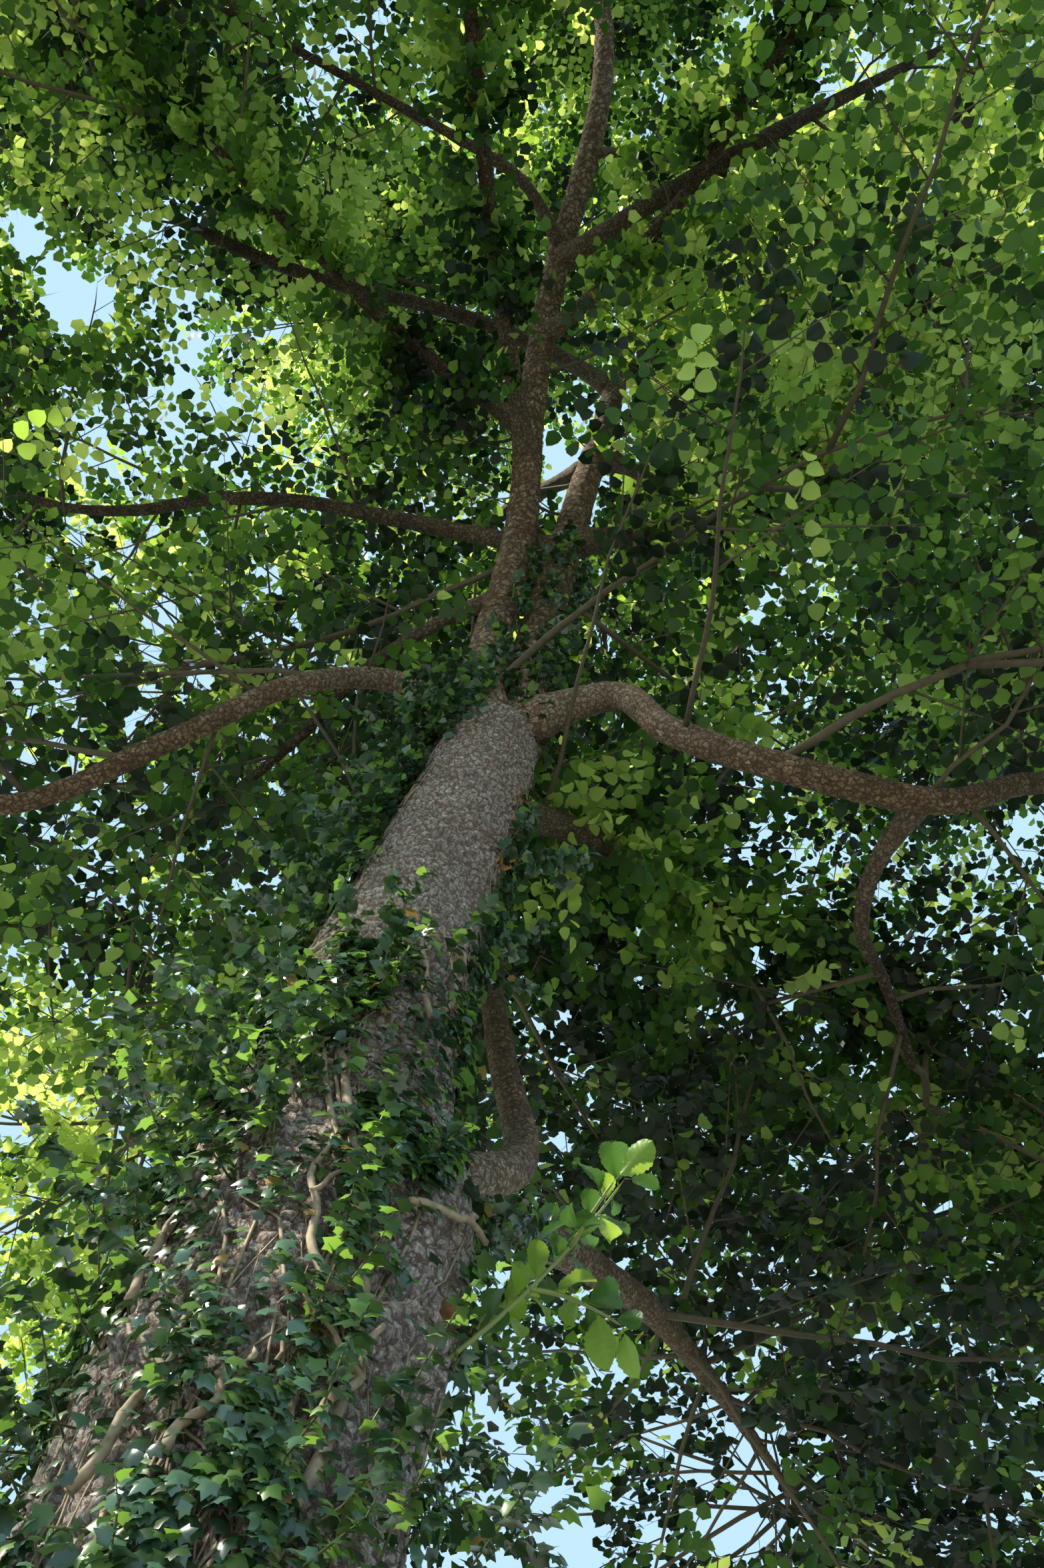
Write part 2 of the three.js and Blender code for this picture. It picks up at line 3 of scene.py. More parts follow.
import bmesh
import bpy
import numpy as np
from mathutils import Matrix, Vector


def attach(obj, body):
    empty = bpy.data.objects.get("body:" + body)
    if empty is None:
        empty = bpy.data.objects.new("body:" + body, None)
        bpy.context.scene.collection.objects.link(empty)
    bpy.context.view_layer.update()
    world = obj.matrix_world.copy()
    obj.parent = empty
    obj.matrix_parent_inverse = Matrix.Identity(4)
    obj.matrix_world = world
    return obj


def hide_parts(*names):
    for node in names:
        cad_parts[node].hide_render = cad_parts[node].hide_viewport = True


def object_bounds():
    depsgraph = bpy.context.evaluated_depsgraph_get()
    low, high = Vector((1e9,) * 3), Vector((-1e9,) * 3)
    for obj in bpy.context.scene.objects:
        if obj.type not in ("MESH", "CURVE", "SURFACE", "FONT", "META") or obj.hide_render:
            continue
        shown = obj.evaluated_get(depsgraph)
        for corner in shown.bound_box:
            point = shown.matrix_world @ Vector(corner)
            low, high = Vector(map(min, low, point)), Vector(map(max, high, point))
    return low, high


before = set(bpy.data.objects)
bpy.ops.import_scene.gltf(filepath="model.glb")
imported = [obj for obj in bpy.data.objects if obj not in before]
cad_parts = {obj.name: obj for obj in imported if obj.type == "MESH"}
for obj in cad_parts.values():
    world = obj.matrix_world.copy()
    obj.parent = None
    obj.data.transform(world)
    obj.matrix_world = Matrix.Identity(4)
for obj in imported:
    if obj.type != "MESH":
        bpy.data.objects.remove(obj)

cad_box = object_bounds()

# The trunk. Alder wood under grey-brown bark that has cracked into small scaly plates. It is one leaning,
# tapering stem with a flared foot of five swells and a flat cut at the ground, and it forks at six
# metres. A burl bulges from its right side, half way up.
limbs = {"trunk": {"heading": [17, 90, 81, -9], "climb": [89, 79, 77, 84], "length": 6.08, "bends": 12,
                   "thick": [0.48, 0.45, 0.425, 0.395, 0.37, 0.345]}}
root_flare = 0.095
root_flare_height = 0.38
buttresses = 5
buttress_swell = 0.45
buttress_turn = 0.6
burl_height = 3.05
burl_azimuth = math.radians(-12)
burl_proud = 0.075
burl_half_height = 0.33
burl_half_width = math.radians(38)
trunk_top_round = 0.035
up = np.array([0.0, 0.0, 1.0])


def along(values, share):
    """The value at a share of the way, or at each of many, along evenly spaced numbers or points."""
    values = np.asarray(values, float)
    place = np.clip(np.asarray(share, float), 0, 1) * (len(values) - 1)
    step = np.minimum(place.astype(int), len(values) - 2)
    rest = place - step
    if values.ndim > 1:
        rest = rest[..., None]
    return values[step] + (values[step + 1] - values[step]) * rest


def direction(heading, climb):
    """The way that runs at a heading, in degrees from +X towards +Y, and a climb above level."""
    heading = np.radians(heading)
    climb = np.radians(climb)
    level = np.cos(climb)
    return np.stack([level * np.cos(heading), level * np.sin(heading), np.sin(climb)], axis=-1)


def grow_path(start, rule):
    """Points of a limb whose heading and climb, in degrees, pass evenly through its rule's values."""
    shares = (np.arange(rule["bends"]) + 0.5) / rule["bends"]
    strides = direction(along(rule["heading"], shares), along(rule["climb"], shares))
    return np.vstack([start, start + np.cumsum(strides * rule["length"] / rule["bends"], axis=0)])


def eased(path, shares):
    """Points at these shares of a smooth curve through a path."""
    ends = np.vstack([2 * path[0] - path[1], path, 2 * path[-1] - path[-2]])
    place = np.clip(shares, 0, 1) * (len(path) - 1)
    step = np.minimum(place.astype(int), len(path) - 2)
    part = (place - step)[:, None]
    before, here, there, after = ends[step], ends[step + 1], ends[step + 2], ends[step + 3]
    bend = 2 * before - 5 * here + 4 * there - after + part * (3 * (here - there) + after - before)
    return here + 0.5 * part * (there - before + part * bend)


def unit(vectors):
    return vectors / np.linalg.norm(vectors, axis=-1, keepdims=True)


def frames_along(points):
    """At each point of a path, two directions across it that don't twist."""
    ahead = unit(np.gradient(points, axis=0))
    across = np.zeros_like(points)
    last = np.array([0.0, 1.0, 0.0]) if abs(ahead[0, 0]) > 0.8 else np.array([1.0, 0.0, 0.0])
    for index, way in enumerate(ahead):
        last = unit(last - way * (last @ way))
        across[index] = last
    return across, np.cross(ahead, across)


def trunk_radius(share, azimuth):
    """The trunk's even taper, its flared foot and its burl."""
    height = share * limbs["trunk"]["length"]
    flare = root_flare * np.exp(-height / root_flare_height)
    buttress = 1 + buttress_swell * np.cos(buttresses * azimuth + buttress_turn)
    turned = (azimuth - burl_azimuth + math.pi) % (2 * math.pi) - math.pi
    beside = turned / burl_half_width
    above = (height - burl_height) / burl_half_height
    burl = burl_proud * np.exp(-beside ** 2 - above ** 2)
    return along(limbs["trunk"]["thick"], share) / 2 + flare * buttress + burl


def set_down(name, shape):
    """The object that a finished bmesh becomes."""
    mesh = bpy.data.meshes.new(name)
    shape.to_mesh(mesh)
    shape.free()
    made = bpy.data.objects.new(name, mesh)
    bpy.context.scene.collection.objects.link(made)
    return made


def roll_bark(name, path, shares, radius, sides):
    """A closed limb: a sheet rolled round its path, joined along the seam and closed over both ends. Its
    attribute straight holds each point's place on the limb laid out straight, in metres."""
    points = eased(path, shares)
    across, side = frames_along(points)
    lengths = np.concatenate([[0], np.cumsum(np.linalg.norm(np.diff(points, axis=0), axis=1))])
    shape = bmesh.new()
    rings = len(shares) - 1
    bmesh.ops.create_grid(shape, x_segments=sides, y_segments=rings, size=1.0)
    straight = shape.verts.layers.float_vector.new("straight")
    sheet = np.array([vert.co for vert in shape.verts])
    azimuth = sheet[:, 0] * math.pi
    ring = np.rint((sheet[:, 1] + 1) / 2 * rings).astype(int)
    reach = radius(shares[ring], azimuth)
    wide = reach * np.cos(azimuth)
    deep = reach * np.sin(azimuth)
    rolled = points[ring] + across[ring] * wide[:, None] + side[ring] * deep[:, None]
    laid = np.stack([wide, deep, lengths[ring]], axis=1)
    for vert, place, own in zip(shape.verts, rolled, laid):
        vert.co = place
        vert[straight] = own
    bmesh.ops.remove_doubles(shape, verts=shape.verts[:], dist=1e-5)
    bmesh.ops.holes_fill(shape, edges=[edge for edge in shape.edges if edge.is_boundary], sides=0)
    bmesh.ops.recalc_face_normals(shape, faces=shape.faces[:])
    for face in shape.faces:
        face.smooth = True
    return set_down(name, shape)


def add(tree, kind, inputs=(), **settings):
    """A node of that kind, with its own settings. Each input is a number, a colour or what another node
    puts out."""
    made = tree.nodes.new(kind)
    for name, value in settings.items():
        setattr(made, name, value)
    for name, value in dict(inputs).items():
        if isinstance(value, bpy.types.NodeSocket):
            tree.links.new(value, made.inputs[name])
        else:
            made.inputs[name].default_value = value
    return made


def bark_plates(tree, place, size, stretch):
    """Nodes, the same in a mesh's and in a material's tree, that lay out scales of bark about size metres
    across. One output is 1 on a scale and falls to 0 in the cracks round it, and one is the scale's own
    random number."""
    wander = add(tree, "ShaderNodeTexNoise", {"Vector": place, "Scale": 0.9 / size, "Detail": 5.0,
                                              "Roughness": 0.65})
    shift = add(tree, "ShaderNodeVectorMath", {0: wander.outputs["Color"], 1: (0.5, 0.5, 0.5)},
                operation="SUBTRACT")
    bent = add(tree, "ShaderNodeVectorMath", {0: shift.outputs[0], 1: (1.9 * size,) * 3, 2: place},
               operation="MULTIPLY_ADD")
    packed = add(tree, "ShaderNodeVectorMath",
                 {0: bent.outputs[0], 1: (1 / size, 1 / size, 1 / size / stretch)}, operation="MULTIPLY")
    cells = add(tree, "ShaderNodeTexVoronoi", {"Vector": packed.outputs[0], "Scale": 1.0},
                feature="DISTANCE_TO_EDGE")
    raised = add(tree, "ShaderNodeMapRange", {"Value": cells.outputs["Distance"], "From Min": 0.0,
                                              "From Max": 0.19}, interpolation_type="SMOOTHSTEP")
    owners = add(tree, "ShaderNodeTexVoronoi", {"Vector": packed.outputs[0], "Scale": 1.0}, feature="F1")
    own = add(tree, "ShaderNodeVectorMath", {0: owners.outputs["Color"], 1: (1.0, 0.0, 0.0)},
              operation="DOT_PRODUCT")
    return raised.outputs["Result"], own.outputs["Value"]


def carve_bark(limb, size, stretch, depth, swell):
    """Cuts the cracks between the bark's scales into a limb, to a depth, over soft swellings."""
    tree = bpy.data.node_groups.new(limb.name + "_relief", "GeometryNodeTree")
    tree.interface.new_socket("Geometry", in_out="INPUT", socket_type="NodeSocketGeometry")
    tree.interface.new_socket("Geometry", in_out="OUTPUT", socket_type="NodeSocketGeometry")
    smooth = add(tree, "NodeGroupInput")
    straight = add(tree, "GeometryNodeInputNamedAttribute", {"Name": "straight"}, data_type="FLOAT_VECTOR")
    place = straight.outputs["Attribute"]
    scales, own = bark_plates(tree, place, size, stretch)
    lift = add(tree, "ShaderNodeMath", {0: own, 1: 0.7, 2: 0.3}, operation="MULTIPLY_ADD")
    ragged = add(tree, "ShaderNodeMath", {0: scales, 1: lift.outputs[0]}, operation="MULTIPLY")
    soft = add(tree, "ShaderNodeTexNoise", {"Vector": place, "Scale": 5.0, "Detail": 2.0})
    middle = add(tree, "ShaderNodeMath", {0: soft.outputs["Fac"], 1: 0.5}, operation="SUBTRACT")
    swollen = add(tree, "ShaderNodeMath", {0: middle.outputs[0], 1: swell}, operation="MULTIPLY")
    height = add(tree, "ShaderNodeMath", {0: ragged.outputs[0], 1: depth, 2: swollen.outputs[0]},
                 operation="MULTIPLY_ADD")
    outward = add(tree, "GeometryNodeInputNormal")
    offset = add(tree, "ShaderNodeVectorMath", {0: outward.outputs["Normal"], "Scale": height.outputs[0]},
                 operation="SCALE")
    carved = add(tree, "GeometryNodeSetPosition", {"Geometry": smooth.outputs["Geometry"],
                                                   "Offset": offset.outputs[0]})
    add(tree, "NodeGroupOutput", {"Geometry": carved.outputs["Geometry"]})
    limb.modifiers.new("relief", "NODES").node_group = tree
    view = bpy.context.evaluated_depsgraph_get()
    whole = bpy.data.meshes.new_from_object(limb.evaluated_get(view), preserve_all_data_layers=True,
                                            depsgraph=view)
    limb.modifiers.clear()
    limb.data = whole


def srgb(red, green, blue):
    """A colour named by how it looks, from 0 to 255, as the light values that a shader takes."""
    seen = np.array([red, green, blue]) / 255
    light = np.where(seen <= 0.04045, seen / 12.92, ((seen + 0.055) / 1.055) ** 2.4)
    return (*light.tolist(), 1.0)


def mix_colours(tree, share, first, second):
    """The output of a node that goes from the first colour to the second as share goes from 0 to 1."""
    mix = add(tree, "ShaderNodeMix", {0: share, 6: first, 7: second}, data_type="RGBA")
    return mix.outputs[2]


def new_finish(name, rough):
    """A material of some roughness, with its node tree and its main shader."""
    material = bpy.data.materials.new(name)
    material.use_nodes = True
    shader = material.node_tree.nodes["Principled BSDF"]
    shader.inputs["Roughness"].default_value = rough
    return material, material.node_tree, shader


def bark_finish(name, scale, crack, patch, size, stretch, rough, foot):
    """Bark: scales of slightly different tones with darker cracks, patches of another colour and a fine
    grain. foot is the colour of the scales and of the cracks at the limb's lower end and the two lengths
    between which these fade into its own."""
    material, tree, shader = new_finish(name, rough)
    place = add(tree, "ShaderNodeAttribute", attribute_name="straight").outputs["Vector"]
    scales, own = bark_plates(tree, place, size, stretch)
    chips, own_chips = bark_plates(tree, place, size * 0.36, stretch * 1.5)
    grain = add(tree, "ShaderNodeTexNoise", {"Vector": place, "Scale": 2.6 / size, "Detail": 6.0,
                                             "Roughness": 0.7})
    broad = add(tree, "ShaderNodeTexNoise", {"Vector": place, "Scale": 13.0, "Detail": 7.0,
                                             "Roughness": 0.7})
    patches = add(tree, "ShaderNodeMapRange", {"Value": broad.outputs["Fac"], "From Min": 0.4,
                                               "From Max": 0.6})
    toned = mix_colours(tree, patches.outputs["Result"], scale, patch)
    foot_scale, foot_crack, fade_from, fade_to = foot
    height = add(tree, "ShaderNodeSeparateXYZ", {0: place})
    shaded = add(tree, "ShaderNodeMapRange", {"Value": height.outputs["Z"], "From Min": fade_from,
                                              "From Max": fade_to})
    toned = mix_colours(tree, shaded.outputs["Result"], foot_scale, toned)
    crack = mix_colours(tree, shaded.outputs["Result"], foot_crack, crack)
    dim = add(tree, "ShaderNodeMapRange", {"Value": own, "To Min": 0.0, "To Max": 0.3})
    toned = mix_colours(tree, dim.outputs["Result"], toned, crack)
    worn = add(tree, "ShaderNodeMapRange", {"Value": grain.outputs["Fac"], "From Min": 0.3,
                                            "From Max": 0.6})
    chipped = add(tree, "ShaderNodeMath", {0: own_chips, 1: 0.5, 2: 0.5}, operation="MULTIPLY_ADD")
    chipped = add(tree, "ShaderNodeMath", {0: chipped.outputs[0], 1: scales}, operation="MULTIPLY")
    flecked = add(tree, "ShaderNodeMath", {0: chipped.outputs[0], 1: worn.outputs["Result"]},
                  operation="MULTIPLY")
    flecked.use_clamp = True
    tree.links.new(mix_colours(tree, flecked.outputs[0], crack, toned), shader.inputs["Base Color"])
    shader.inputs["Specular IOR Level"].default_value = 0.25
    height = add(tree, "ShaderNodeMath", {0: scales, 1: 0.6, 2: grain.outputs["Fac"]},
                 operation="MULTIPLY_ADD")
    height = add(tree, "ShaderNodeMath", {0: chips, 1: 0.5, 2: height.outputs[0]}, operation="MULTIPLY_ADD")
    bump = add(tree, "ShaderNodeBump", {"Height": height.outputs[0], "Strength": 1.0, "Distance": size / 4})
    tree.links.new(bump.outputs["Normal"], shader.inputs["Normal"])
    return material


def finish_piece(piece, material, slot, *nodes):
    """Gives a piece its material, sets it on the tree's one body and says which solids it stands for."""
    piece.data.materials.clear()
    piece.data.materials.append(material)
    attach(piece, "root")
    if nodes:
        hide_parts(*nodes)


paths = {"trunk": grow_path(np.zeros(3), limbs["trunk"])}
finer_from = 0.37
low_rings = np.linspace(0, finer_from, 160, endpoint=False)
high_rings = np.linspace(finer_from, 1, 500)
trunk_sides = 144
trunk_scales = {"size": 0.022, "stretch": 1.2}
ground_cut = 0.004


def rounded_trunk(share, azimuth):
    """The trunk with its top drawn in to a dome between the stems of the fork."""
    past = np.clip((share - 1 + trunk_top_round) / trunk_top_round, 0, 0.98)
    return trunk_radius(share, azimuth) * np.sqrt(1 - past ** 2)


trunk = roll_bark("trunk_bark", paths["trunk"], np.concatenate([low_rings, high_rings]), rounded_trunk,
                  trunk_sides)
carve_bark(trunk, **trunk_scales, depth=0.014, swell=0.026)
corners = np.zeros(len(trunk.data.vertices) * 3, np.float32)
trunk.data.vertices.foreach_get("co", corners)
heights = corners[2::3]
heights[heights < ground_cut] = 0
trunk.data.vertices.foreach_set("co", corners)
trunk_finish = bark_finish("trunk_bark", scale=srgb(250, 242, 230), crack=srgb(128, 110, 94),
                           patch=srgb(226, 202, 186), **trunk_scales, rough=0.92,
                           foot=(srgb(242, 230, 220), srgb(120, 102, 90), 2.6, 4.6))
finish_piece(trunk, trunk_finish, "bark", "trunk")

# The broken knob on the burl. The stub of a lost twig, reddish brown where its wood has rotted.
knob_heading = -16.0
knob_radius = 0.022
knob_way = direction(knob_heading, 30.0)
knob_middle = along(paths["trunk"], 0.474) + direction(knob_heading, 0.0) * 0.275


def mottled_finish(name, fineness, detail, dark, light, rough):
    """Matt wood that wanders between a dark and a light colour."""
    material, tree, shader = new_finish(name, rough)
    place = add(tree, "ShaderNodeTexCoord").outputs["Object"]
    mottle = add(tree, "ShaderNodeTexNoise", {"Vector": place, "Scale": fineness, "Detail": detail})
    tree.links.new(mix_colours(tree, mottle.outputs["Fac"], dark, light), shader.inputs["Base Color"])
    return material


knob_shape = bmesh.new()
bmesh.ops.create_icosphere(knob_shape, subdivisions=4, radius=knob_radius)
for vert in knob_shape.verts:
    sunk = 1 - 0.4 * max(0.0, np.array(vert.co.normalized()) @ knob_way - 0.55)
    lumps = 0.09 * math.sin(190 * vert.co.x + 3) * math.sin(170 * vert.co.y)
    ragged = 1 + lumps + 0.06 * math.sin(420 * vert.co.z)
    vert.co = vert.co * sunk * ragged + Vector(knob_middle)
knob_finish = mottled_finish("rotten_wood", 120.0, 5.0, srgb(66, 40, 24), srgb(146, 104, 66), 0.9)
finish_piece(set_down("burl_knob", knob_shape), knob_finish, "bark", "trunk")

# The loose flakes of old bark on the trunk's right edge. Thin orange-tan scales that have let go of the
# trunk at one end and curl out from it.
flake_count = 46
flake_from = 0.79
flake_to = 0.9
flake_azimuth = 357
flake_off = 0.002
flake_finish, tree, shader = new_finish("bark_flake", 0.8)
shader.inputs["Base Color"].default_value = srgb(180, 128, 76)
random = np.random.default_rng(3)
trunk_middle = eased(paths["trunk"], np.linspace(0, 1, 200))
flakes = bmesh.new()
for _ in range(flake_count):
    share = random.uniform(flake_from, flake_to)
    turn = math.radians(random.normal(flake_azimuth, 5))
    out = np.array([math.cos(turn), math.sin(turn), 0.0])
    aside = np.cross(up, out)
    foot = along(trunk_middle, share) + out * (trunk_radius(share, turn) + flake_off)
    long, wide, curl = random.uniform(0.02, 0.045), random.uniform(0.005, 0.01), random.uniform(0.4, 1.3)
    rows = [[foot + up * long * step + out * long * curl * step ** 2
             + aside * wide * side * (1 - 0.5 * step) for side in (-1, 1)] for step in np.linspace(0, 1, 5)]
    rows = [[flakes.verts.new(corner) for corner in row] for row in rows]
    for low, high in zip(rows, rows[1:]):
        flakes.faces.new([low[0], low[1], high[1], high[0]])
finish_piece(set_down("bark_flakes", flakes), flake_finish, "bark", "trunk")

# The two stems of the fork. Younger alder wood with warm brown, mottled bark in broader, shallower
# scales. Each grows out of the trunk's top through a thick collar and leans on up to the crown's top.
stem_collar = 0.5
collar_fade = 0.2
collar_depth = 0.18
tip_round = 0.004
stem_rings = 620
stem_sides = 40
stem_scales = {"size": 0.036, "stretch": 1.5}
limbs["near_stem"] = {"from": "trunk", "at": 0.97, "shift": (-0.05, -0.06, 0), "bends": 20, "length": 10.1,
                      "heading": [-4, -85, -69, -100, -15], "climb": [90, 72, 41, 74, 76],
                      "thick": [0.168, 0.155, 0.15, 0.14, 0.12, 0.09, 0.04]}
limbs["rear_stem"] = {"from": "trunk", "at": 0.97, "shift": (0.055, 0.065, 0), "bends": 20, "length": 10.2,
                      "heading": [-28, -36, -72, -65], "climb": [82, 79, 68, 72],
                      "thick": [0.18, 0.17, 0.15, 0.125, 0.095, 0.04]}


def limb_radius(name, collar, fade, hidden):
    """A limb's taper, with a collar where it leaves its host at a hidden depth, and a rounded tip. Inside
    the host it is thinner."""
    rule = limbs[name]

    def radius(share, azimuth):
        past = np.clip((share - 1 + tip_round) / tip_round, 0, 0.99)
        outside = np.maximum(share * rule["length"] - hidden, 0)
        inside = np.clip(share * rule["length"] / hidden, 0, 1)
        thick = along(rule["thick"], share) * (1 + collar * np.exp(-outside / fade)) * (0.7 + 0.3 * inside)
        return thick / 2 * np.sqrt(1 - past ** 2)
    return radius


stem_finish = bark_finish("stem_bark", scale=srgb(222, 198, 158), crack=srgb(84, 64, 46),
                          patch=srgb(142, 108, 76), **stem_scales, rough=0.9,
                          foot=(srgb(240, 220, 192), srgb(114, 93, 72), 0.1, 1.2))
for name in ("near_stem", "rear_stem"):
    rule = limbs[name]
    paths[name] = grow_path(along(paths[rule["from"]], rule["at"]) + rule["shift"], rule)
    shape_of_stem = limb_radius(name, stem_collar, collar_fade, collar_depth)
    stem = roll_bark(name + "_bark", paths[name], np.linspace(0, 1, stem_rings), shape_of_stem, stem_sides)
    carve_bark(stem, **stem_scales, depth=0.008, swell=0.01)
    finish_piece(stem, stem_finish, "bark", name)

# The boughs. Limbs of alder with grey-brown bark, cracked finely, which is paler and warmer on the four
# oldest. Each leaves its host through a collar, bends as it seeks the light, and tapers until it is lost
# in its own mass of leaves.
limbs["right_bough"] = {"from": "trunk", "at": 0.99, "length": 3.85,
                        "heading": [-14, -17, 12, 10, 18, -11], "climb": [49, -75, -14, 45, -12, 33],
                        "thick": [0.125, 0.1, 0.095, 0.078, 0.064, 0.046]}
limbs["right_hanging_bough"] = {"from": "right_bough", "at": 0.485, "length": 1.5, "heading": [125, 64, 69],
                                "climb": [1, 19, 7], "thick": [0.062, 0.045, 0.03]}
limbs["left_low_bough"] = {"from": "trunk", "at": 0.985, "length": 3.2,
                           "heading": [-175, -157, -202, -167, -178], "climb": [88, -46, -46, -12, -5],
                           "thick": [0.11, 0.08, 0.072, 0.06, 0.044]}
limbs["left_back_bough"] = {"from": "near_stem", "at": 0.137, "length": 1.9, "heading": [178, 136, 143],
                            "climb": [-43, -11, 14], "thick": [0.062, 0.048, 0.034]}
limbs["left_middle_bough"] = {"from": "rear_stem", "at": 0.212, "length": 3.5,
                              "heading": [-171, -174, -194, -168], "climb": [7, 19, 19, 28],
                              "thick": [0.095, 0.075, 0.065, 0.042]}
limbs["rear_right_bough"] = {"from": "rear_stem", "at": 0.221, "length": 2.45, "heading": [-5, -6, 27],
                             "climb": [12, 29, 21], "thick": [0.11, 0.085, 0.05]}
limbs["upper_left_bough"] = {"from": "near_stem", "at": 0.456, "length": 2.5,
                             "heading": [-111, -154, -154, -154], "climb": [-41, 14, 12, 12],
                             "thick": [0.072, 0.052, 0.038]}
limbs["upper_right_bough"] = {"from": "near_stem", "at": 0.443, "length": 3.4, "heading": [-33, -23, -20],
                              "climb": [-9, 33, 40], "thick": [0.115, 0.09, 0.046]}
limbs["upper_right_thin_bough"] = {"from": "near_stem", "at": 0.532, "length": 1.68,
                                   "heading": [-1, 16, 47], "climb": [-28, -25, -12],
                                   "thick": [0.05, 0.04, 0.03]}
limbs["far_upper_left_bough"] = {"from": "rear_stem", "at": 0.475, "length": 5.0,
                                 "heading": [-152, -167, -156, -115], "climb": [34, -12, 29, 47],
                                 "thick": [0.11, 0.088, 0.078, 0.042]}
limbs["low_outward_bough"] = {"from": "trunk", "at": 0.553, "length": 5.55, "heading": [62, 72, 71],
                              "climb": [35, 26, 20], "thick": [0.105, 0.084, 0.066, 0.034]}
limbs["low_rising_bough"] = {"from": "trunk", "at": 0.55, "length": 4.1, "heading": [32, 112, 88, 115],
                             "climb": [27, 74, 66, 80], "thick": [0.1, 0.084, 0.07, 0.045]}
limbs["far_bough"] = {"from": "trunk", "at": 0.96, "length": 3.3, "heading": [72, 71, 79],
                      "climb": [33, 31, 23], "thick": [0.105, 0.075, 0.048]}
limbs["far_left_bough"] = {"from": "trunk", "at": 0.94, "length": 3.9, "heading": [128, 118, 120],
                           "climb": [40, 24, 16], "thick": [0.105, 0.08, 0.046]}
limbs["far_right_bough"] = {"from": "trunk", "at": 0.9, "length": 3.7, "heading": [35, 44, 36],
                            "climb": [34, 14, 4], "thick": [0.105, 0.078, 0.046]}
limbs["near_left_bough"] = {"from": "near_stem", "at": 0.3, "length": 3.0, "heading": [-150, -134, -142],
                            "climb": [12, 6, 16], "thick": [0.09, 0.07, 0.042]}
limbs["near_bough"] = {"from": "near_stem", "at": 0.27, "length": 3.3, "heading": [-100, -96, -88],
                       "climb": [-10, 4, 6], "thick": [0.095, 0.072, 0.042]}
limbs["near_right_bough"] = {"from": "near_stem", "at": 0.38, "length": 3.0, "heading": [-35, -58, -50],
                             "climb": [5, 0, 10], "thick": [0.09, 0.07, 0.042]}
limbs["near_top_bough"] = {"from": "near_stem", "at": 0.72, "length": 1.8, "heading": [-110, -104, -96],
                           "climb": [20, 34, 46], "thick": [0.064, 0.05, 0.034]}
limbs["rear_back_left_bough"] = {"from": "rear_stem", "at": 0.34, "length": 2.9, "heading": [150, 134, 138],
                                 "climb": [24, 26, 34], "thick": [0.095, 0.072, 0.042]}
limbs["rear_back_bough"] = {"from": "rear_stem", "at": 0.45, "length": 2.7, "heading": [80, 92, 84],
                            "climb": [30, 32, 40], "thick": [0.09, 0.068, 0.042]}
limbs["rear_back_right_bough"] = {"from": "rear_stem", "at": 0.37, "length": 3.1, "heading": [30, 44, 38],
                                  "climb": [20, 24, 30], "thick": [0.092, 0.07, 0.042]}
limbs["rear_top_left_bough"] = {"from": "rear_stem", "at": 0.7, "length": 2.0, "heading": [175, 165, 150],
                                "climb": [35, 42, 50], "thick": [0.066, 0.052, 0.034]}
limbs["rear_top_right_bough"] = {"from": "rear_stem", "at": 0.66, "length": 2.2, "heading": [5, 16, 10],
                                 "climb": [30, 38, 46], "thick": [0.07, 0.054, 0.034]}
limb_stride = 0.5
fewest_bends = 5
bough_collar = 0.55
bough_collar_fade = 0.09
bough_ring_gap = 0.018
stout_bough = 0.1
bough_scales = {"size": 0.02, "stretch": 1.2}
old_boughs = ("right_bough", "left_low_bough", "low_outward_bough", "low_rising_bough")
bough_finish = bark_finish("bough_bark", scale=srgb(150, 134, 104), crack=srgb(48, 38, 28),
                           patch=srgb(96, 78, 54), **bough_scales, rough=0.88,
                           foot=(srgb(170, 150, 126), srgb(84, 70, 54), 0.1, 0.9))
old_bough_finish = bark_finish("old_bough_bark", scale=srgb(206, 178, 140), crack=srgb(78, 60, 44),
                               patch=srgb(142, 114, 82), **bough_scales, rough=0.9,
                               foot=(srgb(240, 218, 192), srgb(114, 93, 74), 0.1, 1.5))
for name, rule in limbs.items():
    if not name.endswith("_bough"):
        continue
    host = limbs[rule["from"]]
    rule["bends"] = max(round(rule["length"] / limb_stride), fewest_bends)
    paths[name] = grow_path(along(paths[rule["from"]], rule["at"]), rule)
    buried = along(host["thick"], rule["at"]) / 2
    shape_of_bough = limb_radius(name, bough_collar, bough_collar_fade, buried)
    rings = round(rule["length"] / bough_ring_gap)
    sides = 24 if rule["thick"][0] > stout_bough else 18
    bough = roll_bark(name + "_bark", paths[name], np.linspace(0, 1, rings), shape_of_bough, sides)
    carve_bark(bough, **bough_scales, depth=0.004, swell=0.008)
    finish_piece(bough, old_bough_finish if name in old_boughs else bough_finish, "bough_bark", name)

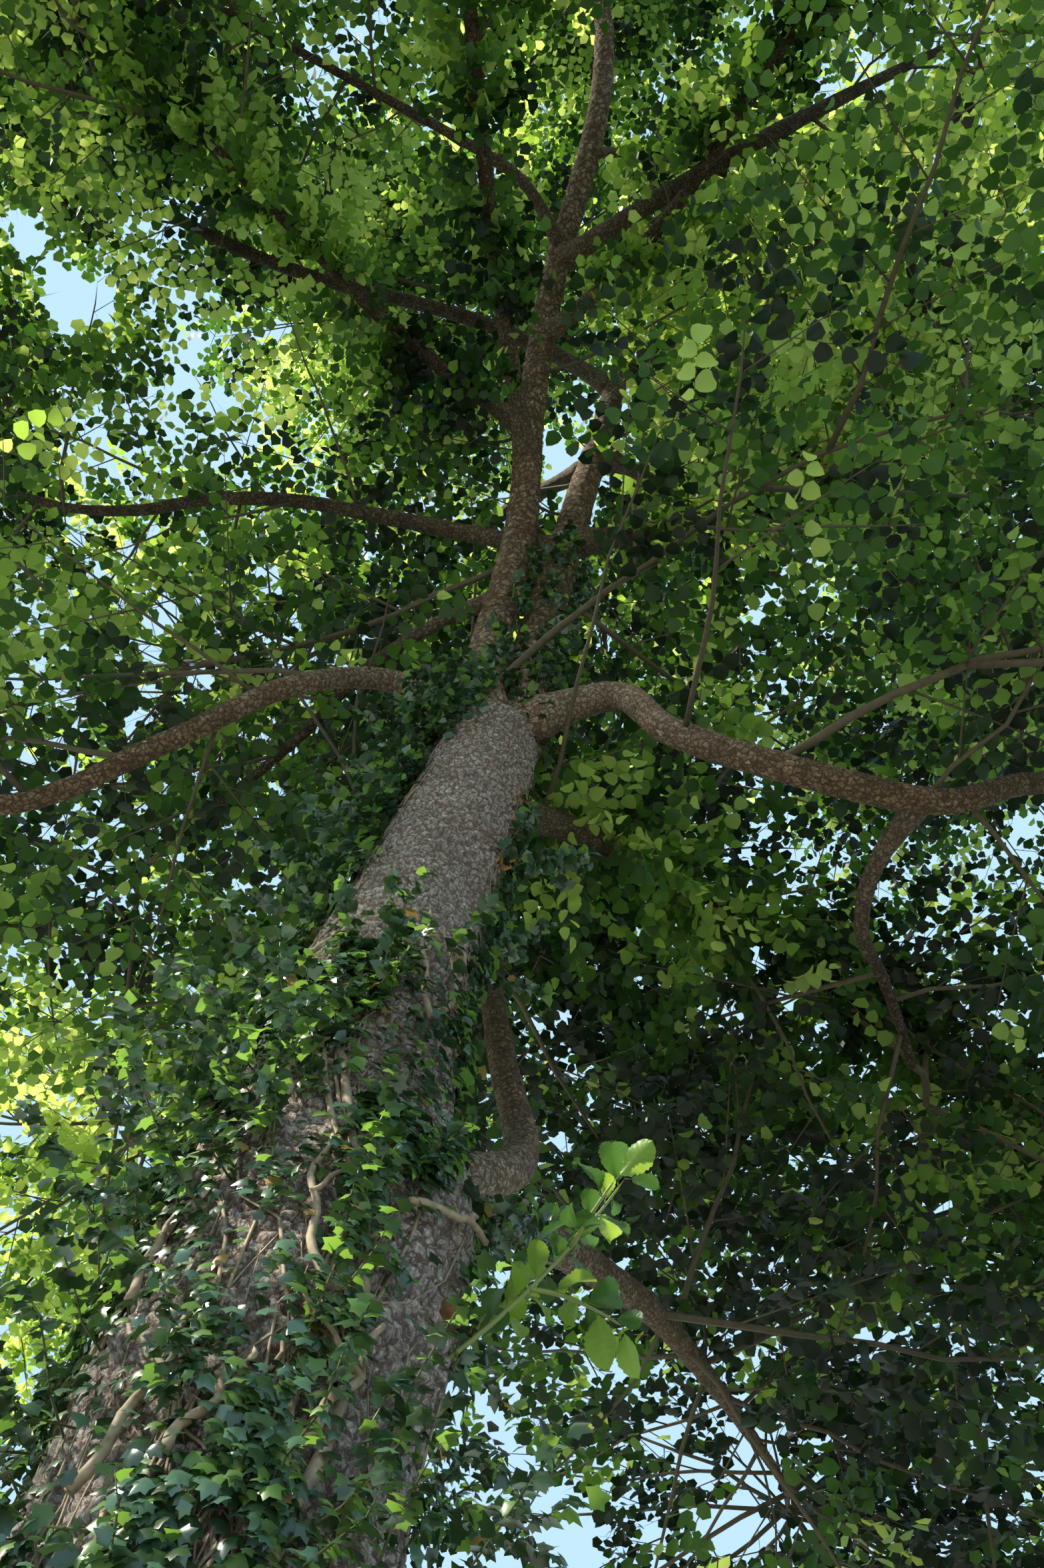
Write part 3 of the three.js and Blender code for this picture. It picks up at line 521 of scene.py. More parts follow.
# The twigs. Thin, dark alder wood. Each mass of leaves grows from one stem of its own that goes on from
# a bough's tip or the side of a stem. Side twigs leave it round about, smaller twigs leave those to
# either hand, and leafy shoots leave the smaller twigs, all within the mass's own space.
masses = {
    # tone runs from 0, the darkest leaves, to 1, the palest, and is painted sun and shade: masses that
    # stand in the sun get pale leaves and masses in the crown's shade dark ones. open is the share of its
    # small twigs that a mass lacks, and side is the number of its side twigs where that isn't ten.
    "right_bough_foliage": {"from": "right_bough", "length": 1.5, "sun_shade_and_tone": 0.46, "open": 0.06},
    "right_upper_foliage": {"from": "right_bough", "at": 0.353, "heading": [-47, 3, -58],
                            "climb": [-12, 22, 47], "length": 2.5, "sun_shade_and_tone": 0.54, "open": 0.22},
    "right_hanging_foliage": {"from": "right_hanging_bough", "length": 1.6, "sun_shade_and_tone": 0.42, "open": 0.12},
    "near_shoulder_foliage": {"from": "near_stem", "at": 0.03, "heading": [-30, -36, 27],
                              "climb": [40, -10, 45], "length": 2.8, "sun_shade_and_tone": 0.5, "open": 0.22},
    "left_low_foliage": {"from": "left_low_bough", "length": 1.5, "sun_shade_and_tone": 0.64, "open": 0.46},
    "left_back_foliage": {"from": "left_back_bough", "length": 1.7, "sun_shade_and_tone": 0.72, "open": 0.28, "side": 12},
    "left_thin_foliage": {"from": "near_stem", "at": 0.17, "heading": [166, 163, 166],
                          "climb": [-36, 9, 14], "length": 3.3, "sun_shade_and_tone": 0.66, "open": 0.26, "side": 12},
    "left_middle_foliage": {"from": "left_middle_bough", "length": 1.6, "sun_shade_and_tone": 0.46, "side": 25},
    "rear_right_foliage": {"from": "rear_right_bough", "length": 1.7, "sun_shade_and_tone": 0.44, "open": 0.1,
                           "side": 14},
    "upper_left_foliage": {"from": "upper_left_bough", "length": 1.6, "sun_shade_and_tone": 0.56},
    "upper_right_foliage": {"from": "upper_right_bough", "length": 1.6, "sun_shade_and_tone": 0.64, "open": 0.12},
    "upper_right_thin_foliage": {"from": "upper_right_thin_bough", "length": 1.5, "sun_shade_and_tone": 0.72,
                                 "open": 0.26},
    "far_upper_left_foliage": {"from": "far_upper_left_bough", "length": 1.5, "sun_shade_and_tone": 0.58, "side": 16},
    "low_outward_foliage": {"from": "low_outward_bough", "length": 1.3, "sun_shade_and_tone": 0.12, "open": 0.04,
                            "side": 17},
    "low_rising_foliage": {"from": "low_rising_bough", "length": 1.5, "sun_shade_and_tone": 0.22, "open": 0.32},
    "far_foliage": {"from": "far_bough", "length": 1.7, "sun_shade_and_tone": 0.16, "open": 0.18, "side": 12},
    "far_left_foliage": {"from": "far_left_bough", "length": 1.6, "sun_shade_and_tone": 0.9, "side": 17},
    "far_right_foliage": {"from": "far_right_bough", "length": 1.6, "sun_shade_and_tone": 0.22, "open": 0.1, "side": 17},
    "near_left_foliage": {"from": "near_left_bough", "length": 1.6, "sun_shade_and_tone": 0.74, "side": 16},
    "near_foliage": {"from": "near_bough", "length": 1.6, "sun_shade_and_tone": 0.52, "side": 15},
    "near_right_foliage": {"from": "near_right_bough", "length": 1.6, "sun_shade_and_tone": 0.7, "open": 0.22},
    "near_top_foliage": {"from": "near_top_bough", "length": 1.5, "sun_shade_and_tone": 0.4, "side": 24},
    "rear_back_left_foliage": {"from": "rear_back_left_bough", "length": 1.6, "sun_shade_and_tone": 0.4, "side": 25},
    "rear_back_foliage": {"from": "rear_back_bough", "length": 1.6, "sun_shade_and_tone": 0.35, "open": 0.15},
    "rear_back_right_foliage": {"from": "rear_back_right_bough", "length": 1.6, "sun_shade_and_tone": 0.36, "side": 15},
    "rear_top_left_foliage": {"from": "rear_top_left_bough", "length": 1.5, "sun_shade_and_tone": 0.46, "side": 26},
    "rear_top_right_foliage": {"from": "rear_top_right_bough", "length": 1.5, "sun_shade_and_tone": 0.45},
    "near_stem_top_foliage": {"from": "near_stem", "length": 1.5, "sun_shade_and_tone": 0.4, "side": 30},
    "rear_stem_top_foliage": {"from": "rear_stem", "length": 1.4, "sun_shade_and_tone": 0.5},
}
stem_bends = 4
stem_turn = 8
stem_rise = 12
mass_stem_radius = 0.0169
mass_middle = 0.7
mass_reach = 2.4
cell_margin = 0.006
limb_margin = 0.025
crown_slack = 0.22
golden_angle = math.radians(137.5)
side_twigs = 10
side_twig_span = (0.1, 0.96)
side_twig_length = 1.15
spray_length = 1.3
shortest_left = 0.2


def stem_of_mass(mass):
    """The path of a mass's own stem. Without a heading and climb it goes on as its bough does."""
    host = paths[mass["from"]]
    ahead = unit(host[-1] - host[-2])
    heading = math.degrees(math.atan2(ahead[1], ahead[0]))
    climb = math.degrees(math.asin(ahead[2]))
    rule = {"heading": mass.get("heading", [heading, heading + stem_turn]), "bends": stem_bends,
            "climb": mass.get("climb", [climb, climb + stem_rise]), "length": mass["length"]}
    start = along(host, mass.get("at", 1.0))
    if "at" not in mass:
        start = start - ahead * mass_stem_radius
    return grow_path(start, rule)


crown_low = np.array(cad_box[0]) - crown_slack
crown_high = np.array(cad_box[1]) + crown_slack
stems = {name: stem_of_mass(mass) for name, mass in masses.items()}
centres = {name: along(stem, mass_middle) for name, stem in stems.items()}
stretches = []
for name, path in paths.items():
    thick = along(limbs[name]["thick"], np.linspace(0, 1, len(path)))
    stretches += [(path[step], path[step + 1], thick[step] / 2) for step in range(len(path) - 1)]


def in_space(name, points):
    """Which of some points lie in a mass's own space and clear of the limbs."""
    middle = centres[name]
    own = np.linalg.norm(points - middle, axis=-1)
    free = (own < mass_reach) & ((points > crown_low) & (points < crown_high)).all(axis=-1)
    for other, centre in centres.items():
        if other != name:
            apart = 2 * np.linalg.norm(centre - middle)
            free &= (((points - centre) ** 2).sum(axis=-1) - own ** 2) / apart > cell_margin
    for start, end, radius in stretches:
        line = end - start
        share = np.clip((points - start) @ line / (line @ line), 0, 1)
        free &= np.linalg.norm(points - start - share[..., None] * line, axis=-1) > radius + limb_margin
    return free


def branch_off(ahead, opening, azimuth):
    """Directions turned away from others by an opening angle, at an azimuth round them, in radians."""
    across = unit(np.cross(ahead, up))
    away = across * np.cos(azimuth)[:, None] + np.cross(ahead, across) * np.sin(azimuth)[:, None]
    return unit(ahead * np.cos(opening)[:, None] + away * np.sin(opening)[:, None])


def levelled(ways):
    """Ways with their climb drawn in towards level."""
    ways[:, 2] = ways[:, 2] * 0.75 + 0.08
    return unit(ways)


def bowed(roots, ways, lengths, lift, stations):
    """Twigs as rows of points: each starts along its way and bends up or down by its lift."""
    share = np.linspace(0, 1, stations)[None, :, None]
    reach = lengths[:, None, None] * share
    return roots[:, None] + ways[:, None] * reach + up * (lift[:, None, None] * reach * share)


def cut_short(name, twigs, blocked=False):
    """Some twigs, each shortened to where it would leave its mass's space, meet a limb or be blocked. Those
    left too short go."""
    free = in_space(name, twigs[:, 1:]) & ~blocked
    clear = np.cumprod(free, axis=1).sum(axis=1) / free.shape[1]
    stations = twigs.shape[1]
    place = clear[:, None] * np.linspace(0, 1, stations)[None]
    step = np.minimum((place * (stations - 1)).astype(int), stations - 2)
    rest = (place * (stations - 1) - step)[..., None]
    rows = np.arange(len(twigs))[:, None]
    shorter = twigs[rows, step] * (1 - rest) + twigs[rows, step + 1] * rest
    return shorter[clear > shortest_left]


def lengths_of(twigs):
    return np.linalg.norm(np.diff(twigs, axis=1), axis=2).sum(axis=1)


def offshoots(parents, counts, span):
    """Roots of the twigs that leave some parents between the two shares of span, with the way each parent
    runs there, its number, the share of it where they leave and the hand, by turns left and right."""
    first, last = span
    owner = np.repeat(np.arange(len(parents)), counts)
    order = np.concatenate([np.arange(count) for count in counts])
    many = np.maximum(counts[owner] - 1, 1)
    share = first + (last - first) * order / many
    place = share * (parents.shape[1] - 1)
    step = np.minimum(place.astype(int), parents.shape[1] - 2)
    rest = (place - step)[:, None]
    here = parents[owner, step]
    there = parents[owner, step + 1]
    hand = np.where(order % 2, 1.0, -1.0)
    return here + (there - here) * rest, unit(there - here), owner, share, hand


standing_spot = np.array([0.46, -1.2, 1.6])
# Heading, climb and half width, in degrees, of the crown's openings as seen from the standing spot.
openings = [
    (170.7, 70.0, 0.9), (162.3, 70.7, 1.2), (142.4, 73.7, 0.5), (155.7, 76.1, 0.3), (130.2, 65.0, 0.8),
    (123.1, 69.0, 0.6), (124.1, 64.0, 0.8), (93.6, 38.3, 0.8), (88.0, 32.6, 1.4), (83.2, 35.7, 0.8),
    (80.0, 32.3, 1.2), (50.4, 54.4, 0.6), (71.0, 51.8, 0.5), (83.7, 55.0, 0.5), (130.2, 65.6, 0.6),
    (129.0, 63.7, 0.5), (126.8, 60.9, 0.5), (114.4, 65.5, 0.4), (136.3, 59.2, 0.5), (116.0, 62.7, 0.4),
    (129.9, 58.2, 0.4), (111.3, 67.0, 0.4), (113.7, 60.9, 0.4), (129.9, 64.6, 0.4), (137.4, 61.7, 0.4),
    (140.3, 62.0, 0.4), (87.3, 47.1, 0.4), (75.1, 51.9, 0.4), (65.9, 41.9, 0.4), (72.4, 38.0, 0.4),
    (52.2, 54.0, 0.4), (83.6, 48.6, 0.3), (69.2, 40.8, 0.3), (78.3, 47.0, 0.3), (64.9, 39.4, 0.3),
    (91.0, 45.1, 0.2), (81.7, 42.9, 0.3), (88.5, 57.5, 0.3), (86.7, 60.0, 0.3), (84.8, 54.8, 0.3),
    (86.8, 52.6, 0.3), (80.6, 56.0, 0.3), (125.4, 69.0, 0.3), (121.3, 66.6, 0.4), (109.2, 68.4, 0.3),
    (124.9, 65.7, 0.2), (111.4, 64.4, 0.3), (117.8, 67.1, 0.2), (78.8, 34.2, 1.1), (82.0, 34.4, 0.6),
    (84.0, 32.3, 0.5), (127.0, 62.2, 0.5), (94.5, 47.6, 0.4), (71.1, 37.9, 0.4), (69.2, 50.4, 0.4),
    (84.9, 38.0, 0.4), (54.8, 55.9, 0.2), (123.9, 54.4, 0.4), (72.1, 53.6, 0.4), (82.7, 38.2, 0.3),
    (72.2, 58.3, 0.3),
]
past_the_crown = 99.0
# The limbs in sight from there, with the first and the last share of each that shows.
in_sight = {"trunk": (0, 0.3), "near_stem": (0, 0.6), "rear_stem": (0, 0.3), "right_bough": (0, 1),
            "right_hanging_bough": (0, 1), "left_low_bough": (0, 1), "left_middle_bough": (0, 0.9),
            "upper_right_bough": (0, 0.8), "low_outward_bough": (0, 0.5), "low_rising_bough": (0.17, 0.5),
            "far_upper_left_bough": (0, 0.6), "upper_left_bough": (0, 0.8)}
sight_gap = 0.12
sight_short = 0.1
sight_margin = 0.03
sights = [(direction(heading, climb), past_the_crown, math.tan(math.radians(half)), 0.0)
          for heading, climb, half in openings]
seen_limbs = [""] * len(openings)
for name, (first, last) in in_sight.items():
    for share in np.linspace(first, last, round(limbs[name]["length"] * last / sight_gap)):
        line = along(paths[name], share) - standing_spot
        far = np.linalg.norm(line)
        spread = along(limbs[name]["thick"], share) / 2 / far
        sights.append((line / far, far - sight_short, spread, sight_margin))
        seen_limbs.append(name)
sight_ways, sight_lengths, sight_spreads, sight_widths = (np.array(column) for column in zip(*sights))
seen_limbs = np.array(seen_limbs)


def in_the_way(points, chosen=slice(None)):
    """Which of some points lie, as seen from under the tree, before a limb or in an opening of the crown.
    chosen says which of these count."""
    offset = points - standing_spot
    reach = offset @ sight_ways[chosen].T
    beside = (offset ** 2).sum(axis=-1)[..., None] - reach ** 2
    wide = sight_widths[chosen] + sight_spreads[chosen] * reach
    return ((reach > 0) & (reach < sight_lengths[chosen]) & (beside < wide ** 2)).any(axis=-1)


def crossing(twigs):
    """Which stretches of some twigs cross before a limb in sight. A twig's first stretch doesn't count."""
    parts = np.array([1 / 3, 2 / 3, 1])[:, None]
    between = twigs[:, :-1, None] + (twigs[:, 1:] - twigs[:, :-1])[:, :, None] * parts
    blocked = in_the_way(between, seen_limbs != "").any(axis=2)
    blocked[:, 0] = False
    return blocked


def hand_out(twigs, station, found):
    """Gives each twig to the mass whose middle is nearest to one of its stations."""
    nearest = np.argmin([np.linalg.norm(twigs[:, station] - middle, axis=1) for middle in centres.values()],
                        axis=0)
    for number, name in enumerate(centres):
        if (nearest == number).any():
            found[name].append(twigs[nearest == number])


def middle_and_way(limb, share):
    """Points at shares of a limb's middle line, and the way that the limb runs there."""
    fine = eased(paths[limb], np.linspace(0, 1, 60))
    return along(fine, share), unit(along(fine, share + 0.03) - along(fine, share - 0.03))


limb_twig_gap = 0.22
stem_twig_gap = 0.17
limb_twig_span = (0.22, 0.97)


def limb_twigs(random):
    """Side twigs that leave the boughs and stems themselves, by the mass in whose space each grows."""
    found = {name: [] for name in masses}
    for name, rule in limbs.items():
        if name == "trunk":
            continue
        count = round(rule["length"] / (stem_twig_gap if name.endswith("stem") else limb_twig_gap))
        roots, ahead = middle_and_way(name, np.linspace(*limb_twig_span, count))
        turn = random.uniform(0, 2 * math.pi) + golden_angle * np.arange(count)
        ways = levelled(branch_off(ahead, np.radians(random.uniform(50, 75, count)), turn))
        reach = random.uniform(1.1, 2.3, count)
        hand_out(bowed(roots, ways, reach, random.uniform(-0.12, 0.1, count), 9), 4, found)
    return found


leafy_limbs = ["near_bough", "near_left_bough", "near_right_bough", "near_top_bough", "far_right_bough",
               "far_bough", "far_left_bough", "rear_right_bough"]
limb_shoot_gap = 0.012


def limb_shoots(random):
    """Short leafy shoots that hang round the boughs which the leaves hide from below, by mass."""
    found = {name: [] for name in masses}
    for limb in leafy_limbs:
        count = round(limbs[limb]["length"] / limb_shoot_gap)
        share = np.sort(random.uniform(0.1, 1, count))
        middle, ahead = middle_and_way(limb, share)
        opening = np.radians(random.uniform(50, 90, count))
        ways = branch_off(ahead, opening, random.uniform(0, 2 * math.pi, count))
        ways = unit(ways - up * 0.55)
        feet = middle + ways * along(limbs[limb]["thick"], share)[:, None] / 2
        reach = random.uniform(0.12, 0.36, count)
        hand_out(bowed(feet, ways, reach, random.uniform(-0.4, 0.3, count), 2), 1, found)
    return found


def to_either_hand(ahead, hand):
    """Level ways to the left or the right of others."""
    return unit(np.cross(up, ahead)) * hand[:, None]


small_twig_gap = 0.19
small_twig_span = (0.14, 0.98)
small_twig_length = 0.92
shoot_gap = 0.095
shoot_span = (0.18, 1.0)
shoot_length = 0.3
shoots_in_a_spray = 6
stray_shoots = 0.15
from_limbs = limb_twigs(np.random.default_rng(7))
on_limbs = limb_shoots(np.random.default_rng(8))
grown = {}
for number, (name, stem) in enumerate(stems.items(), 1):
    random = np.random.default_rng(number)
    sides = masses[name].get("side", side_twigs)
    fine_stem = eased(stem, np.linspace(0, 1, 17))[None]
    fine_stem[:, 1:] += np.cumsum(random.normal(0, 0.012, fine_stem[:, 1:].shape), axis=1)
    roots, ahead, _, share, _ = offshoots(fine_stem, np.array([sides]), side_twig_span)
    azimuth = 2 * math.pi * random.random() + golden_angle * np.arange(1, sides + 1)
    opening = np.radians(62 - 20 * share + 10 * random.random(sides))
    ways = levelled(branch_off(ahead, opening, azimuth))
    reach = side_twig_length * (1 - 0.3 * share + 0.2 * random.random(sides)) + spray_length * 0.9
    lift = random.uniform(-0.12, 0.1, sides)
    big = np.concatenate([bowed(roots, ways, reach, lift, 9)] + from_limbs[name])
    big[:, 1:] += np.cumsum(random.normal(0, 0.02, big[:, 1:].shape), axis=1)
    big = cut_short(name, big, crossing(big))
    big = np.concatenate([fine_stem[:, ::2], big])
    counts = np.maximum(np.rint(lengths_of(big) / small_twig_gap).astype(int), 2)
    roots, ahead, _, share, hand = offshoots(big, counts, small_twig_span)
    rise = up * random.uniform(-0.3, 0.35, len(roots))[:, None]
    out = 0.62 * ahead + 0.78 * to_either_hand(ahead, hand) + rise
    reach = small_twig_length * (1 - 0.62 * share) * random.uniform(0.7, 1.15, len(roots))
    small = cut_short(name, bowed(roots, unit(out), reach, random.uniform(-0.25, 0.15, len(roots)), 5))
    small = small[~in_the_way(small[:, 2:4]).any(axis=1)]
    small = small[random.random(len(small)) >= masses[name].get("open", 0)]
    counts = np.maximum(np.rint(lengths_of(small) / shoot_gap).astype(int), 2)
    roots, ahead, owner, share, hand = offshoots(small, counts, shoot_span)
    rise = up * random.uniform(-0.45, 0.4, len(roots))[:, None]
    out = 0.68 * ahead + 0.7 * to_either_hand(ahead, hand) + rise
    reach = shoot_length * (1 - 0.45 * share) * random.uniform(0.6, 1.2, len(roots))
    shoots = bowed(roots, unit(out), reach, random.uniform(-0.4, 0.3, len(roots)), 2)
    extra = np.concatenate([np.empty((0, 2, 3))] + on_limbs[name])
    shoots = np.concatenate([shoots, extra])
    owner = np.concatenate([owner, len(small) + np.arange(len(extra)) // shoots_in_a_spray])
    kept = in_space(name, shoots[:, 1:]).all(axis=1) | (owner >= len(small))
    kept &= ~in_the_way(shoots.mean(axis=1)) | (random.random(len(shoots)) < stray_shoots)
    grown[name] = {"stem": fine_stem, "big": big[1:], "small": small, "shoots": shoots[kept],
                   "spray": owner[kept]}


def joined(name, corners, faces):
    """One object from arrays of corners and of three-cornered faces."""
    mesh = bpy.data.meshes.new(name)
    mesh.vertices.add(len(corners))
    mesh.vertices.foreach_set("co", corners.astype(np.float32).ravel())
    mesh.loops.add(len(faces) * 3)
    mesh.loops.foreach_set("vertex_index", faces.astype(np.int32).ravel())
    mesh.polygons.add(len(faces))
    mesh.polygons.foreach_set("loop_start", np.arange(0, len(faces) * 3, 3, dtype=np.int32))
    mesh.polygons.foreach_set("use_smooth", np.ones(len(faces), bool))
    mesh.update(calc_edges=True)
    piece = bpy.data.objects.new(name, mesh)
    bpy.context.scene.collection.objects.link(piece)
    return piece


def sticks(twigs, thick, taper, sides):
    """Corners and faces of closed twigs that taper to a point. thick is each twig's radius at its root."""
    ahead = unit(np.gradient(twigs, axis=1))
    upright = np.abs(ahead[:, :1, 2:]) > 0.9
    across = unit(np.cross(ahead, np.where(upright, np.array([1.0, 0.0, 0.0]), up)))
    side = np.cross(ahead, across)
    stations = twigs.shape[1]
    radius = thick[:, None] * (1 - taper * np.linspace(0, 1, stations)[None])
    angle = 2 * math.pi * np.arange(sides) / sides
    spoke = across[:, :, None] * np.cos(angle)[:, None] + side[:, :, None] * np.sin(angle)[:, None]
    rings = twigs[:, :, None] + spoke * radius[:, :, None, None]
    corners = np.concatenate([rings[:, :-1].reshape(len(twigs), -1, 3), twigs[:, -1:]], axis=1)
    faces = [[0, turn + 1, turn] for turn in range(1, sides - 1)]
    tip = (stations - 1) * sides
    for ring in range(stations - 1):
        for turn in range(sides):
            here = ring * sides + turn
            beside = ring * sides + (turn + 1) % sides
            if ring == stations - 2:
                faces.append([here, beside, tip])
            else:
                faces += [[here, beside, beside + sides], [here, beside + sides, here + sides]]
    faces = np.array(faces)[None] + (np.arange(len(twigs)) * (tip + 1))[:, None, None]
    return corners.reshape(-1, 3), faces.reshape(-1, 3)


def heap(parts):
    """Several pairs of corners and faces as one."""
    corners = np.concatenate([part[0] for part in parts])
    starts = np.cumsum([0] + [len(part[0]) for part in parts[:-1]])
    return corners, np.concatenate([part[1] + start for part, start in zip(parts, starts)])


crown_parts = {
    "right": ["right_bough_foliage", "right_upper_foliage", "right_hanging_foliage", "rear_right_foliage",
              "near_shoulder_foliage"],
    "left": ["left_low_foliage", "left_back_foliage", "left_thin_foliage", "left_middle_foliage",
             "far_left_foliage"],
    "near": ["near_left_foliage", "near_foliage", "near_right_foliage", "upper_left_foliage"],
    "upper": ["upper_right_foliage", "upper_right_thin_foliage", "near_top_foliage",
              "near_stem_top_foliage", "far_upper_left_foliage"],
    "low": ["low_outward_foliage", "low_rising_foliage", "far_foliage", "far_right_foliage"],
    "rear": ["rear_back_left_foliage", "rear_back_foliage", "rear_back_right_foliage",
             "rear_top_left_foliage", "rear_top_right_foliage", "rear_stem_top_foliage"],
}
twig_finish = mottled_finish("twig_bark", 40.0, 4.0, srgb(52, 44, 30), srgb(98, 88, 62), 0.8)
for part, names in crown_parts.items():
    parts = []
    for name in names:
        twigs = grown[name]
        parts.append(sticks(twigs["stem"], np.array([mass_stem_radius]), 0.75, 8))
        parts.append(sticks(twigs["big"], 0.004 + 0.0045 * lengths_of(twigs["big"]), 0.75, 5))
        parts.append(sticks(twigs["small"], 0.002 + 0.004 * lengths_of(twigs["small"]), 0.6, 3))
        parts.append(sticks(twigs["shoots"], np.full(len(twigs["shoots"]), 0.0018), 0.5, 3))
    twigs = joined("twigs_" + part, *heap(parts))
    finish_piece(twigs, twig_finish, "bough_bark", *names)

# The leaves. Alder leaves four to ten centimetres long, nearly round, widest past the middle and notched
# at the tip. They sit close along every leafy shoot, to either hand by turns, and most hold their blades
# near level.
leaf_gap = 0.036
leaf_span = (0.12, 1.0)


def rim_of(shape):
    """The corners of a round blade's rim, clockwise from its tip."""
    return sorted((vert for vert in shape.verts if vert.co.length > 0.5),
                  key=lambda vert: math.atan2(vert.co.x, vert.co.y) % (2 * math.pi))


def as_blade(shape):
    """The corners and faces of a finished blade, as arrays."""
    corners = np.array([vert.co for vert in shape.verts])
    faces = np.array([[vert.index for vert in face.verts] for face in shape.faces])
    shape.free()
    return corners, faces


def leaf_blade(side_shares, notch=True):
    """The corners and faces of a leaf of length 1: two halves folded up a little from its midrib. Each half
    has a corner at each of these shares of the length. Without its notch the tip is cut off straight."""
    shape = bmesh.new()
    bmesh.ops.create_circle(shape, cap_ends=True, segments=2 * len(side_shares) + 1 + notch, radius=1.0)
    rim = rim_of(shape)
    right = [(0.64 * share ** 0.46 * (1 - share ** 3.5) ** 0.5, share) for share in side_shares]
    outline = [(0, 0.93)] * notch + right[::-1] + [(0, 0)] + [(-x, y) for x, y in right]
    for vert, (x, y) in zip(rim, outline):
        vert.co = (x, y, 0.5 * x * x - 0.15 * y * y)
    if notch:
        bmesh.ops.connect_verts(shape, verts=[rim[0], rim[len(rim) // 2]])
    bmesh.ops.triangulate(shape, faces=shape.faces[:])
    return as_blade(shape)


def set_blades(blade, roots, ahead, facing, sizes):
    """Corners and faces of many copies of a blade, each at its root, pointing ahead and facing its way."""
    corners, faces = blade
    across = unit(np.cross(ahead, facing))
    normal = np.cross(across, ahead)
    axes = np.stack([across, ahead, normal], axis=1) * sizes[:, None, None]
    placed = roots[:, None] + np.einsum("cj,njk->nck", corners, axes)
    order = faces[None] + (np.arange(len(roots)) * len(corners))[:, None, None]
    return placed.reshape(-1, 3), order.reshape(-1, 3)


def leaves_on(shoots, random):
    """Roots, ways, facings, sizes and shoot numbers of the leaves on some shoots."""
    counts = np.maximum(np.rint(lengths_of(shoots) / leaf_gap).astype(int), 2) + 1
    roots, ahead, owner, share, hand = offshoots(shoots, counts, leaf_span)
    many = len(roots)
    level = unit(np.cross(up, ahead) + 1e-6) * hand[:, None]
    aside = np.where(share > 0.99, 0.1, 0.85)[:, None]
    way = unit(0.55 * ahead + aside * level + up * random.normal(-0.25, 0.22, many)[:, None])
    facing = unit(up + random.normal(0, 0.5, (many, 3)))
    sizes = random.uniform(0.056, 0.084, many)
    return roots, way, facing, sizes, owner


# How each tint's blade looks, the light that comes through it and the share of that light. The tints run
# from pale to dark as painted sunlight and painted shade on one kind of leaf.
leaf_tints = {
    "lime": (srgb(128, 150, 70), srgb(216, 234, 116), 0.6),
    "spring": (srgb(92, 118, 52), srgb(170, 204, 76), 0.55),
    "grass": (srgb(62, 92, 38), srgb(108, 148, 46), 0.5),
    "moss": (srgb(48, 76, 31), srgb(76, 116, 32), 0.45),
    "deep": (srgb(34, 57, 24), srgb(46, 80, 21), 0.4),
    "shade": (srgb(22, 38, 17), srgb(22, 44, 12), 0.3),
}
tint_names = list(leaf_tints)


def leaf_finish(name, front, through, clear, rough=0.4, shine=0.35):
    """A leaf's skin: a satin surface that lets a share of the light through its blade in a warmer green."""
    material, tree, shader = new_finish(name, rough)
    shader.inputs["Base Color"].default_value = front
    shader.inputs["Specular IOR Level"].default_value = shine
    glow = add(tree, "ShaderNodeBsdfTranslucent", {"Color": through})
    both = add(tree, "ShaderNodeMixShader", {0: clear, 1: shader.outputs[0], 2: glow.outputs[0]})
    tree.links.new(both.outputs[0], tree.nodes["Material Output"].inputs["Surface"])
    return material


chinks_middle = direction(127, 62)
chinks_edge = math.cos(math.radians(7.5))
chink_least = 0.42


def in_chink(points):
    """Which of some points lie, as seen from under the tree, in the small chinks of the crown's left."""
    way = unit(points - standing_spot)
    x, y = (way[:, :2] / way[:, 2:]).T
    broad = np.sin(150 * x + 40 * y) * np.sin(130 * y - 35 * x + 2)
    narrow = 0.4 * np.sin(290 * x + 1) * np.sin(270 * y)
    return (way @ chinks_middle > chinks_edge) & (broad + narrow > chink_least)


